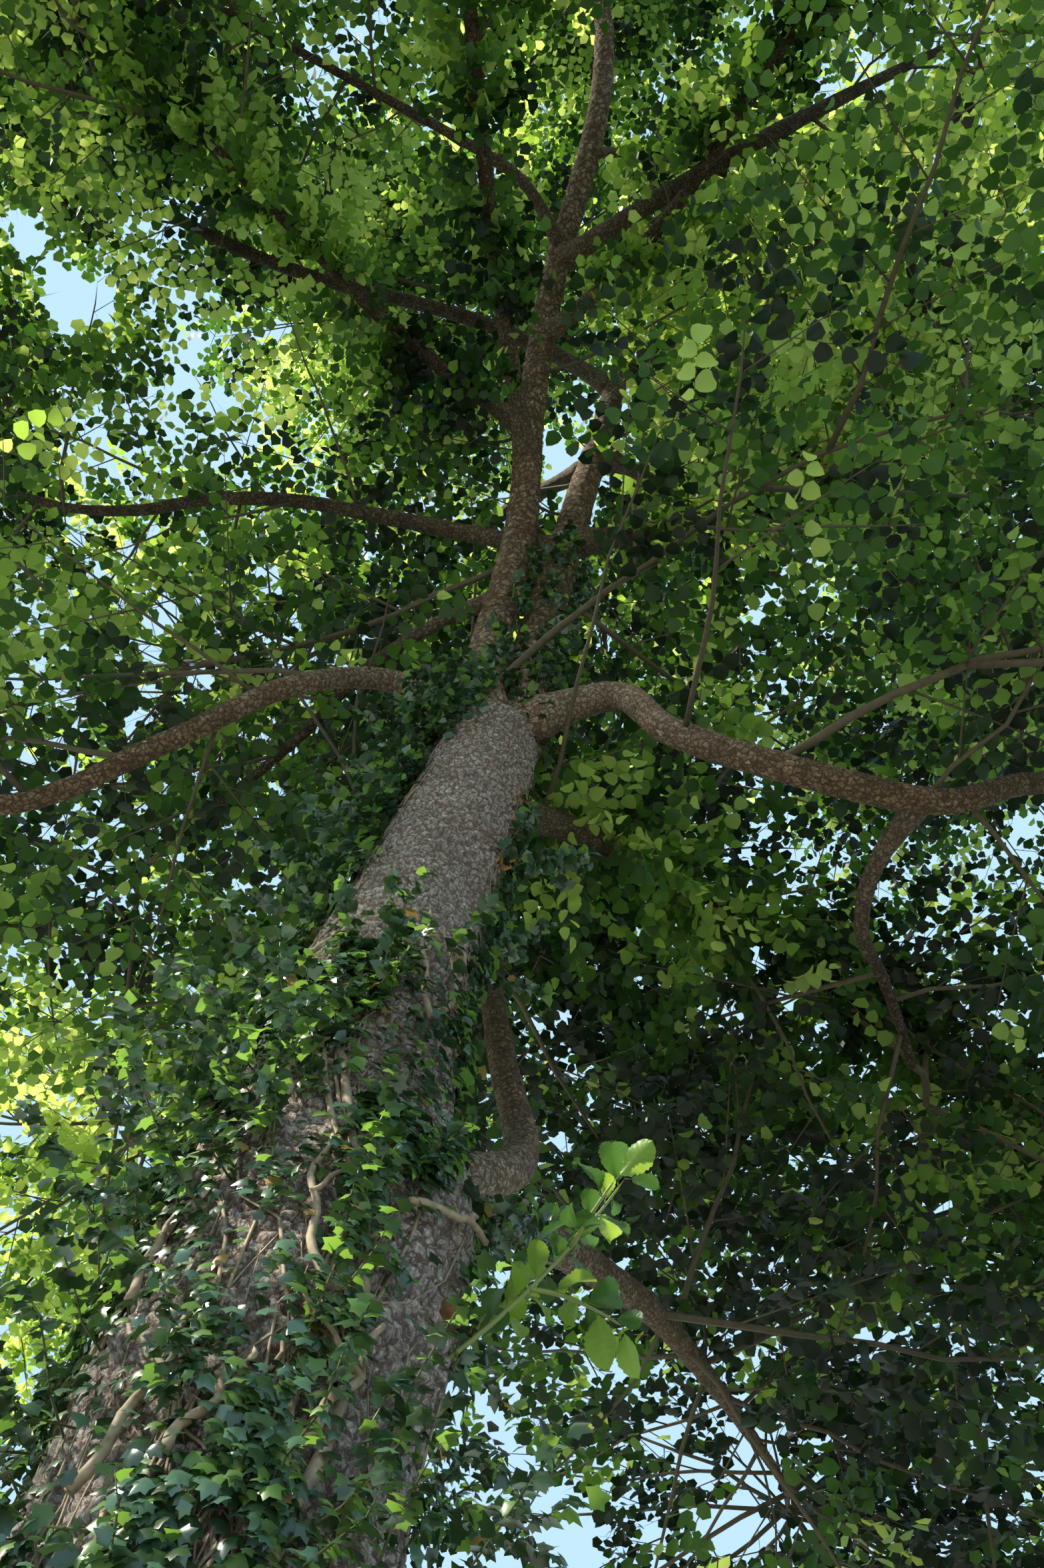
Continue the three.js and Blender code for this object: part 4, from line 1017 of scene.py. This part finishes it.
# The blades by their nearest and farthest distance from the standing spot, in metres.
leaf_fineness = [(0.0, 3.4, leaf_blade([0.12, 0.34, 0.58, 0.8, 0.95])),
                 (3.4, 5.0, leaf_blade([0.2, 0.5, 0.82])), (5.0, 6.2, leaf_blade([0.3, 0.76])),
                 (6.2, past_the_crown, leaf_blade([0.5, 0.93], notch=False))]
stray_leaves = 0.12
# Painted light: leaves are painted paler up the crown, as its top stands in the sun and its foot in shade.
painted_light_heights, painted_light_shifts = [4.5, 9, 16], [-0.13, -0.09, 0.02]
# Painted sunlight: a share of the leaves, larger high in the crown, is painted as sunlit, paler by this
# shift.
sunlit_heights, sunlit_chances = [5, 12], [0.03, 0.22]
sunlit_shift = 0.5
size_distances, size_changes = [2.4, 4.5, 12], [0.66, 0.87, 1.2]
finishes = {tint: leaf_finish("leaf_" + tint, *colours) for tint, colours in leaf_tints.items()}
for part, names in crown_parts.items():
    parts = {tint: [] for tint in tint_names}
    for name in names:
        random = np.random.default_rng(list(masses).index(name) + 101)
        twigs = grown[name]
        roots, way, facing, sizes, owner = leaves_on(twigs["shoots"], random)
        middles = roots + way * sizes[:, None] / 2
        kept = ~(in_the_way(middles) | in_chink(middles)) | (random.random(len(roots)) < stray_leaves)
        roots, way, facing, sizes, owner = roots[kept], way[kept], facing[kept], sizes[kept], owner[kept]
        sprays = twigs["spray"].max() + 1
        # Each leaf's tint starts from its mass's painted sun or shade, spread at random from spray to spray
        # and from shoot to shoot.
        sun_shade_and_tone = masses[name]["sun_shade_and_tone"] + random.normal(0, 0.14, sprays)
        x, y, z = twigs["shoots"][:, 0].T
        # Broad patches of painted sun and shade that wander through the crown.
        sun_and_shade_patches = 0.3 * np.sin(1.9 * x + 1.1 * z) * np.sin(1.6 * y - 1.3 * z + 1)
        sun_shade_and_tone = sun_shade_and_tone[twigs["spray"]] + sun_and_shade_patches + random.normal(0, 0.2, len(z))
        # Painted light that grows up the crown: paler high, darker low.
        sun_shade_and_tone = (sun_shade_and_tone + np.interp(z, painted_light_heights, painted_light_shifts))[owner]
        # A random share of the leaves, painted as sunlit.
        sunlit = random.random(len(roots)) < np.interp(roots[:, 2], sunlit_heights, sunlit_chances)
        sun_shade_and_tone = np.clip(sun_shade_and_tone + sunlit_shift * sunlit, 0, 0.999)
        far = np.linalg.norm(roots - standing_spot, axis=1)
        sizes = sizes * np.interp(far, size_distances, size_changes)
        own_tint = np.minimum(len(tint_names) * (1 - sun_shade_and_tone), len(tint_names) - 1).astype(int)
        for index, tint in enumerate(tint_names):
            for start, end, blade in leaf_fineness:
                those = (far >= start) & (far < end) & (own_tint == index)
                if those.any():
                    parts[tint].append(set_blades(blade, roots[those], way[those], facing[those],
                                                  sizes[those]))
    for tint, blades in parts.items():
        if blades:
            leaves = joined("leaves_" + part + "_" + tint, *heap(blades))
            finish_piece(leaves, finishes[tint], "foliage", *names)

# The ivy's stems. Pale, woody climbing stems pressed to the bark, the oldest as thick as a thumb. Three
# main stems wind up the trunk, side stems leave them to either hand, and thin creepers leave both and find
# their own way up. Ten old bare stems, each with one arm, cross the trunk's front.
ivies = {
    "ivy_left": {"from": 128, "to": 236, "top": 0.97, "seed": 11, "creepers": 190, "shoots": 260},
    "ivy_front": {"from": 242, "to": 338, "top": 0.66, "seed": 12, "creepers": 170, "shoots": 170},
    "ivy_back": {"from": -16, "to": 122, "top": 0.9, "seed": 13, "creepers": 140, "shoots": 110},
}
ivy_foot = 0.012
ivy_rise = 0.095
ivy_wind = 0.45
ivy_winding = 19
ivy_reach = 0.5
ivy_reach_spread = 0.3
ivy_edge = 6
main_points = 90
main_radius = 0.014
# An old stem's share of the trunk and azimuth at its foot, then at its top, its bend and its arm's azimuth.
old_stems = [(0.395, 246, 0.445, 262, 4, 238), (0.45, 232, 0.49, 224, 5, 240),
             (0.45, 297, 0.51, 286, -6, 303), (0.488, 316, 0.505, 352, 2, 340),
             (0.6, 318, 0.69, 331, 7, 308), (0.52, 262, 0.565, 250, 4, 272),
             (0.635, 228, 0.66, 262, 3, 248), (0.41, 300, 0.45, 316, 4, 290),
             (0.4, 266, 0.428, 282, 2, 261), (0.6, 316, 0.69, 300, -5, 324)]
old_stem_off = 0.03
old_stem_radii = np.array([0.0075, 0.0048])
creeper_steps = 22
creeper_climb = 0.0075
bark_off = 0.012
course = eased(paths["trunk"], np.linspace(0, 1, 400))
course_across, course_side = frames_along(course)


def on_trunk(share, degrees, off):
    """Points that stand off the trunk's bark by a height, and the ways out from the bark there."""
    azimuth = np.radians(degrees)[..., None]
    out = along(course_across, share) * np.cos(azimuth) + along(course_side, share) * np.sin(azimuth)
    reach = trunk_radius(share, azimuth[..., 0]) + off
    return along(course, share) + out * reach[..., None], out


def keep_between(values, low, high):
    """Values folded back, like light between two mirrors, until all lie between low and high."""
    span = high - low
    folded = np.mod(values - low, 2 * span)
    return low + np.where(folded > span, 2 * span - folded, folded)


# The lowest and highest share of the trunk and the first and last azimuth of each bare place.
bare_bark = [(0.77, 0.93, 226, 350), (0.63, 0.74, 212, 288), (0.6, 0.68, 292, 325),
             (0.53, 0.61, 285, 345), (0.43, 0.5, 306, 356), (0.505, 0.53, 262, 292),
             (0.452, 0.475, 258, 294), (0.425, 0.442, 238, 256), (0.43, 0.45, 268, 284),
             (0.405, 0.44, 296, 330), (0.38, 0.415, 240, 262), (0.58, 0.61, 240, 262),
             (0.6, 0.64, 210, 228)]


def in_bare_bark(share, degrees):
    """Which places on the trunk lie where its bark shows between the growths of ivy."""
    degrees = np.mod(degrees, 360)
    inside = [(share > low) & (share < high) & (degrees > start) & (degrees < end)
              for low, high, start, end in bare_bark]
    return np.any(inside, axis=0)


ivy_grown = {}
for name, ivy in ivies.items():
    random = np.random.default_rng(ivy["seed"])
    middle = (ivy["from"] + ivy["to"]) / 2
    half = (ivy["to"] - ivy["from"]) / 2
    shares = np.linspace(ivy_foot, ivy["top"], main_points)
    winding = middle + half * ivy_wind * np.sin(shares * ivy_winding + ivy["seed"])
    winding = winding + random.normal(0, 1.0, main_points)
    main, _ = on_trunk(shares, winding, bark_off)
    parts = [sticks(main[None], np.array([main_radius]), 0.5, 7)]
    starts = [np.stack([shares, winding], axis=1)]
    forks = np.arange(ivy_foot, ivy["top"] - ivy_rise, ivy_rise)
    hands = np.where(np.arange(len(forks)) % 2, -1, 1)
    fork_turn = middle + half * ivy_wind * np.sin(forks * ivy_winding + ivy["seed"])
    turn = middle + hands * half * (ivy_reach + ivy_reach_spread * random.random(len(forks))) - fork_turn
    part_way = np.linspace(0, 1, 12)[None]
    bend = np.sin(part_way * math.pi) * random.normal(0, 6, (len(forks), 1))
    side_share = forks[:, None] + ivy_rise * part_way
    side_turn = fork_turn[:, None] + turn[:, None] * part_way ** 0.8 + bend
    side_stems, _ = on_trunk(side_share, side_turn, bark_off)
    parts.append(sticks(side_stems, random.uniform(0.007, 0.012, len(forks)), 0.5, 6))
    starts.append(np.stack([side_share.ravel(), side_turn.ravel()], axis=1))
    starts = np.concatenate(starts)
    chosen = starts[random.integers(0, len(starts), ivy["creepers"])]
    drift = random.normal(0, 2.2, (ivy["creepers"], 1))
    turns = chosen[:, 1:] + np.cumsum(drift + random.normal(0, 4, (ivy["creepers"], creeper_steps)), axis=1)
    climbs = np.abs(random.normal(creeper_climb, 0.003, (ivy["creepers"], creeper_steps)))
    climbs = chosen[:, :1] + np.cumsum(climbs, axis=1) - creeper_climb
    turns = keep_between(turns, ivy["from"] - ivy_edge, ivy["to"] + ivy_edge)
    climbs = keep_between(climbs, ivy_foot, ivy["top"])
    bare = in_bare_bark(climbs.mean(axis=1), turns.mean(axis=1))
    creepers, _ = on_trunk(climbs[~bare][:, ::2], turns[~bare][:, ::2], bark_off - 0.003)
    parts.append(sticks(creepers, random.uniform(0.002, 0.0055, len(creepers)), 0.6, 3))
    ivy_grown[name] = {"wood": parts, "share": climbs, "turn": turns}

part_way = np.linspace(0, 1, 14)
for number, (low, start, high, end, bend, fork) in enumerate(old_stems):
    waver = 1.8 * np.sin(part_way * 14 + number)
    turn = start + (end - start) * part_way + bend * np.sin(part_way * math.pi) + waver
    stem, _ = on_trunk(low + (high - low) * part_way, turn, old_stem_off)
    arm_turn = turn[7] + (fork - turn[7]) * part_way + 0.8 * np.sin(part_way * 15)
    arm, _ = on_trunk(low + (high - low) * (0.5 + 0.4 * part_way), arm_turn, old_stem_off + 0.002)
    ivy_grown["ivy_front"]["wood"].append(sticks(np.stack([stem, arm]), old_stem_radii, 0.4, 7))

# The ivy's leaves. Leathery, dark and glossy, up to five centimetres long, with five lobes two to three
# metres up and plain elsewhere. They stand off the bark in patches and turn their faces outwards, and
# leafy shoots reach further out, most of all at the fork and over the burl.
lobes = [(0.0, 1.0), (0.22, 0.62), (0.46, 0.56), (0.38, 0.32), (0.4, 0.04), (0.06, 0.04)]


def plain_ivy_blade():
    """An ivy leaf in four faces, for the leaves that are further from the eye."""
    shape = bmesh.new()
    bmesh.ops.create_circle(shape, cap_ends=True, segments=6, radius=1.0)
    rim = rim_of(shape)
    outline = [(0, 1, -0.25), (0.32, 0.62, 0), (0.46, 0.22, -0.1), (0, 0, 0), (-0.46, 0.22, -0.1),
               (-0.32, 0.62, 0)]
    for vert, place in zip(rim, outline):
        vert.co = place
    bmesh.ops.connect_verts(shape, verts=[rim[0], rim[3]])
    bmesh.ops.triangulate(shape, faces=shape.faces[:])
    return as_blade(shape)


def ivy_blade():
    """The corners and faces of an ivy leaf of length 1: five lobes round a middle that is sunk a little."""
    shape = bmesh.new()
    bmesh.ops.create_circle(shape, cap_ends=True, cap_tris=True, segments=10, radius=1.0)
    outline = [(x, y) for x, y in lobes] + [(-x, y) for x, y in lobes[-2:0:-1]]
    rim = rim_of(shape)
    for vert, (x, y) in zip(rim, outline):
        vert.co = (x, y, -0.25 * y * y - 0.5 * x * x)
    middle = [vert for vert in shape.verts if vert not in rim][0]
    middle.co = (0, 0.38, 0.03)
    return as_blade(shape)


def reach_out(random, feet, out, rise, shortest, longest):
    """Shoots of the ivy that stand out from their feet, rise more or less and bend up or down."""
    many = len(feet)
    way = unit(out + up * random.normal(rise, 0.3, (many, 1)) + random.normal(0, 0.3, (many, 3)))
    return bowed(feet, way, random.uniform(shortest, longest, many), random.uniform(-0.2, 0.4, many), 5)


burl_shoot_count = 46
fork_shoot_count = 90
# How far up each stem the ivy has climbed, the azimuth from which it grows there and its shoots.
fork_limbs = [("rear_stem", 0.2, -130, 150), ("near_stem", 0.035, -20, 40)]


def burl_shoots(random):
    """Shoots of the ivy that stand out over the burl's shoulder, before the foot of the limb behind it."""
    share = random.uniform(0.525, 0.575, burl_shoot_count)
    feet, out = on_trunk(share, random.uniform(-34, 22, burl_shoot_count), 0.0)
    return reach_out(random, feet, out, 0.3, 0.1, 0.27)


def fork_shoots(random):
    """Shoots of the ivy where it has reached the fork and climbs on up the two stems."""
    share = random.uniform(0.93, 1.0, fork_shoot_count)
    feet, out = on_trunk(share, random.uniform(150, 272, fork_shoot_count), 0.0)
    found = [reach_out(random, feet, out, 0.3, 0.08, 0.2)]
    for limb, high, start, count in fork_limbs:
        share = random.uniform(0.0, high, count)
        turn = np.radians(random.uniform(start, 230, count))
        out = np.stack([np.cos(turn), np.sin(turn), np.zeros(count)], axis=1)
        feet = along(paths[limb], share) + out * along(limbs[limb]["thick"], share)[:, None] / 2
        found.append(reach_out(random, feet, out, 0.2, 0.08, 0.2))
    return np.concatenate(found)


ivy_leaf = ivy_blade()
plain_ivy_leaf = plain_ivy_blade()
lobed_from = 2.1
lobed_to = 3.1
ivy_tints = {
    "dark": leaf_finish("ivy_dark", srgb(48, 72, 42), srgb(50, 76, 28), 0.2, rough=0.26, shine=0.9),
    "green": leaf_finish("ivy_green", srgb(104, 138, 72), srgb(140, 182, 68), 0.4, rough=0.35, shine=0.6),
    "blue": leaf_finish("ivy_blue", srgb(84, 116, 92), srgb(56, 82, 46), 0.2, rough=0.2, shine=1.0),
    "dead": leaf_finish("ivy_dead", srgb(166, 138, 84), srgb(180, 146, 70), 0.3),
}
ivy_tint_shares = [0.5, 0.2, 0.293, 0.007]
ivy_shoot_finish = leaf_finish("ivy_shoot", srgb(96, 104, 60), srgb(100, 120, 44), 0.1)
ivy_wood_finish = mottled_finish("ivy_wood", 90.0, 5.0, srgb(96, 82, 62), srgb(196, 176, 146), 0.85)
leaves_at_a_place = 4
ivy_leaf_gap = 0.009
ivy_leaf_span = (0.25, 1.0)
ivy_shoot_radius = 0.0022
ivy_cover = 0.74
ivy_patches = 130
ivy_patch_turns = 11
ivy_patch_cover = 0.8
bare_heights, bare_cover = [0.6, 0.66], [0.26, 0.08]
ivy_heights, ivy_sizes = [1.6, 2.4, 5], [0.7, 0.85, 1.35]
lowest_leaf = 0.08
for name, ivy in ivies.items():
    random = np.random.default_rng(ivy["seed"] + 100)
    grown_ivy = ivy_grown[name]
    share = np.repeat(grown_ivy["share"].ravel(), leaves_at_a_place)
    turn = np.repeat(grown_ivy["turn"].ravel(), leaves_at_a_place)
    many = len(share)
    share = share + random.normal(0, 0.004, many)
    turn = turn + random.normal(0, 4, many)
    roots, out = on_trunk(np.clip(share, 0.002, 0.99), turn, random.uniform(0.016, 0.06, many))
    aside = np.cross(up, out)
    way = unit(0.25 * out + aside * random.normal(0, 0.6, (many, 1))
               + up * random.normal(-0.5, 0.5, (many, 1)))
    facing = unit(out + up * 0.5 + random.normal(0, 0.35, (many, 3)))
    shoot_share = random.uniform(0.1, ivy["top"] + 0.02, ivy["shoots"])
    shoot_turn = random.uniform(ivy["from"], ivy["to"], ivy["shoots"])
    feet, shoot_out = on_trunk(np.minimum(shoot_share, 1), shoot_turn, 0.005)
    shoots = reach_out(random, feet, shoot_out, 0.25, 0.08, 0.3)
    shoots = shoots[~in_bare_bark(shoot_share, shoot_turn)]
    if name == "ivy_left":
        shoots = np.concatenate([shoots, fork_shoots(random)])
    if name == "ivy_back":
        shoots = np.concatenate([shoots, burl_shoots(random)])
    shoots[:, 1:] += np.cumsum(random.normal(0, 0.009, shoots[:, 1:].shape), axis=1)
    shoots = shoots[(shoots[..., 2] > lowest_leaf + 0.02).all(axis=1)]
    shoots = shoots[~in_the_way(shoots, seen_limbs == "low_rising_bough").any(axis=1)]
    stems_of_ivy = joined(name + "_wood", *heap(grown_ivy["wood"]))
    finish_piece(stems_of_ivy, ivy_wood_finish, "ivy", name)
    green_shoots = joined(name + "_shoots", *sticks(shoots, np.full(len(shoots), ivy_shoot_radius), 0.5, 3))
    finish_piece(green_shoots, ivy_shoot_finish, "ivy", name)
    counts = np.maximum(np.rint(lengths_of(shoots) / ivy_leaf_gap).astype(int), 3)
    shoot_roots, ahead, _, _, hand = offshoots(shoots, counts, ivy_leaf_span)
    extra = len(shoot_roots)
    shoot_facing = unit(random.normal(0, 0.45, (extra, 3)) + up * 0.7 + ahead * 0.4)
    shoot_ways = unit(np.cross(up, ahead) * hand[:, None] + 0.6 * ahead
                      + random.normal(0, 0.35, (extra, 3)))
    patchy = np.sin(ivy_patches * share + 2) * np.sin(np.radians(turn) * ivy_patch_turns)
    cover = ivy_cover * np.clip(ivy_patch_cover + 0.9 * patchy, 0.12, 1.2)
    sparse = np.interp(share, bare_heights, bare_cover)
    keep = random.random(many) < cover * np.where(in_bare_bark(share, turn), sparse, 1)
    keep &= ~in_the_way(roots, seen_limbs == "low_rising_bough")
    roots = np.concatenate([roots[keep], shoot_roots])
    way = np.concatenate([way[keep], shoot_ways])
    facing = np.concatenate([facing[keep], shoot_facing])
    way = unit(way - facing * (way * facing).sum(axis=1, keepdims=True))
    height = roots[:, 2]
    lobed = (height > lobed_from) & (height < lobed_to)
    sizes = random.uniform(0.018, 0.036, len(roots)) * np.interp(height, ivy_heights, ivy_sizes)
    clear = height > lowest_leaf
    own_tint = random.choice(len(ivy_tints), len(roots), p=ivy_tint_shares)
    for index, (tint, finish) in enumerate(ivy_tints.items()):
        parts = []
        for blade, those in ((ivy_leaf, lobed), (plain_ivy_leaf, ~lobed)):
            those = those & clear & (own_tint == index)
            parts.append(set_blades(blade, roots[those], way[those], facing[those], sizes[those]))
        leaves = joined(name + "_leaves_" + tint, *heap(parts))
        finish_piece(leaves, finish, "ivy", name)

# The leafy shoot on the burl. This year's soft green wood, one stem with four side stems, with large
# toothed leaves to either hand, the largest as long as a finger. It springs from the right of the burl.
shoot_radius = 0.0045
shoot_foot, _ = on_trunk(0.465, -4.0, -shoot_radius * 2)
shoot_rules = [
    {"at": 0.0, "heading": [-14, -6, 2], "climb": [34, 50, 60], "length": 0.44, "bends": 6},
    {"at": 0.22, "heading": [40, 20, 0], "climb": [60, 72, 66], "length": 0.2, "bends": 5},
    {"at": 0.4, "heading": [20, 36, 40], "climb": [12, 4, -4], "length": 0.17, "bends": 5},
    {"at": 0.62, "heading": [-60, -50, -40], "climb": [10, 30, 36], "length": 0.12, "bends": 5},
    {"at": 0.12, "heading": [70, 56, 30], "climb": [56, 64, 50], "length": 0.15, "bends": 5},
]
shoot_leaf_gap = 0.028
shoot_leaf_span = (0.22, 1.0)
shoot_stalk = 0.014
shoot_stalk_radius = 0.0014
blade_foot = 0.012


def toothed_blade(rows, columns, teeth):
    """The corners and faces of a shoot's leaf of length 1, with a toothed rim and sunken side veins."""
    shape = bmesh.new()
    bmesh.ops.create_grid(shape, x_segments=columns, y_segments=rows, size=1.0)
    for vert in shape.verts:
        share = (vert.co.y + 1) / 2
        tooth = 1 + 0.16 * abs(vert.co.x) ** 6 * (math.modf(share * teeth)[0] - 0.5)
        half = 0.5 * share ** 0.6 * (1 - share ** 3) ** 0.6 * tooth
        furrows = math.cos(2 * math.pi * (share * 8 - abs(vert.co.x) * 1.5))
        vein = 0.014 * furrows * min(1, 6 * abs(vert.co.x))
        wave = 0.05 * math.sin(7 * share + 2 * vert.co.x) * abs(vert.co.x)
        vert.co = (vert.co.x * half, share, 0.4 * half * abs(vert.co.x) - 0.3 * share ** 2 + vein + wave)
    bmesh.ops.remove_doubles(shape, verts=shape.verts[:], dist=1e-5)
    bmesh.ops.triangulate(shape, faces=shape.faces[:])
    return as_blade(shape)


random = np.random.default_rng(5)
shoot_stems = []
for rule in shoot_rules:
    foot = along(shoot_stems[0], rule["at"]) if shoot_stems else shoot_foot
    shoot_stems.append(eased(grow_path(foot, rule), np.linspace(0, 1, 16)))
shoot_stems = np.array(shoot_stems)
counts = np.rint(lengths_of(shoot_stems) / shoot_leaf_gap).astype(int)
roots, ahead, _, share, hand = offshoots(shoot_stems, counts, shoot_leaf_span)
aside = np.where(share > 0.99, 0.1, 0.9)[:, None]
way = unit(0.6 * ahead + aside * to_either_hand(ahead, hand) + random.normal(0, 0.22, (len(roots), 3)))
facing = unit(up + 0.3 * ahead + random.normal(0, 0.8, (len(roots), 3)))
sizes = random.uniform(0.042, 0.08, len(roots))
stalks = np.stack([roots, roots + way * shoot_stalk], axis=1)
blade = toothed_blade(20, 8, 12)
# Lit and shaded copies of one leaf: a random share of the leaves is painted as sunlit and the rest as in
# shade.
shoot_tints = {
    "lit": leaf_finish("fresh_leaf_lit", srgb(120, 150, 70), srgb(176, 206, 70), 0.5),
    "shaded": leaf_finish("fresh_leaf_shaded", srgb(74, 108, 62), srgb(86, 128, 44), 0.4),
}
lit = random.random(len(roots)) < 0.45
for tint, those in (("lit", lit), ("shaded", ~lit)):
    blades = set_blades(blade, roots[those] + way[those] * blade_foot, way[those], facing[those],
                        sizes[those])
    leaves = joined("burl_shoot_leaves_" + tint, *blades)
    finish_piece(leaves, shoot_tints[tint], "fresh_leaf", "burl_shoot")
wood = [sticks(shoot_stems, np.full(len(shoot_stems), shoot_radius), 0.6, 7),
        sticks(stalks, np.full(len(stalks), shoot_stalk_radius), 0.3, 4)]
stems_of_shoot = joined("burl_shoot_stem", *heap(wood))
shoot_finish = leaf_finish("fresh_stem", srgb(136, 148, 84), srgb(120, 150, 50), 0.1)
finish_piece(stems_of_shoot, shoot_finish, "fresh_leaf", "burl_shoot")

# The floor: a plain pale disc that the tree stands on.
floor_shape = bmesh.new()
bmesh.ops.create_circle(floor_shape, cap_ends=True, segments=128, radius=60.0)
floor = set_down("floor", floor_shape)
floor_paint, tree, shader = new_finish("floor", 0.9)
shader.inputs["Base Color"].default_value = srgb(142, 142, 136)
floor.data.materials.append(floor_paint)

# The light: an even pale-blue sky all round, and one strong warm lamp high on the left.
sky = bpy.data.worlds.new("sky")
bpy.context.scene.world = sky
sky.use_nodes = True
sky.node_tree.nodes["Background"].inputs["Color"].default_value = srgb(188, 226, 252)
sky.node_tree.nodes["Background"].inputs["Strength"].default_value = 1.12
lamp = bpy.data.lights.new("lamp", "SUN")
lamp.energy = 10.5
lamp.angle = math.radians(4)
lamp.color = (1.0, 0.95, 0.84)
lamp_holder = bpy.data.objects.new("lamp", lamp)
lamp_holder.rotation_euler = (math.radians(12), math.radians(-40), 0)
bpy.context.scene.collection.objects.link(lamp_holder)
bpy.context.scene.view_settings.view_transform = "Standard"

# The camera: close to the trunk at eye height, looking steeply up into the crown.
lens = bpy.data.cameras.new("camera")
lens.lens = 18.0
lens.sensor_width = 22.3
climb_of_view = 63
viewer = bpy.data.objects.new("camera", lens)
viewer.location = standing_spot
viewer.rotation_euler = (math.radians(90 + climb_of_view), 0, 0)
bpy.context.scene.collection.objects.link(viewer)
bpy.context.scene.camera = viewer
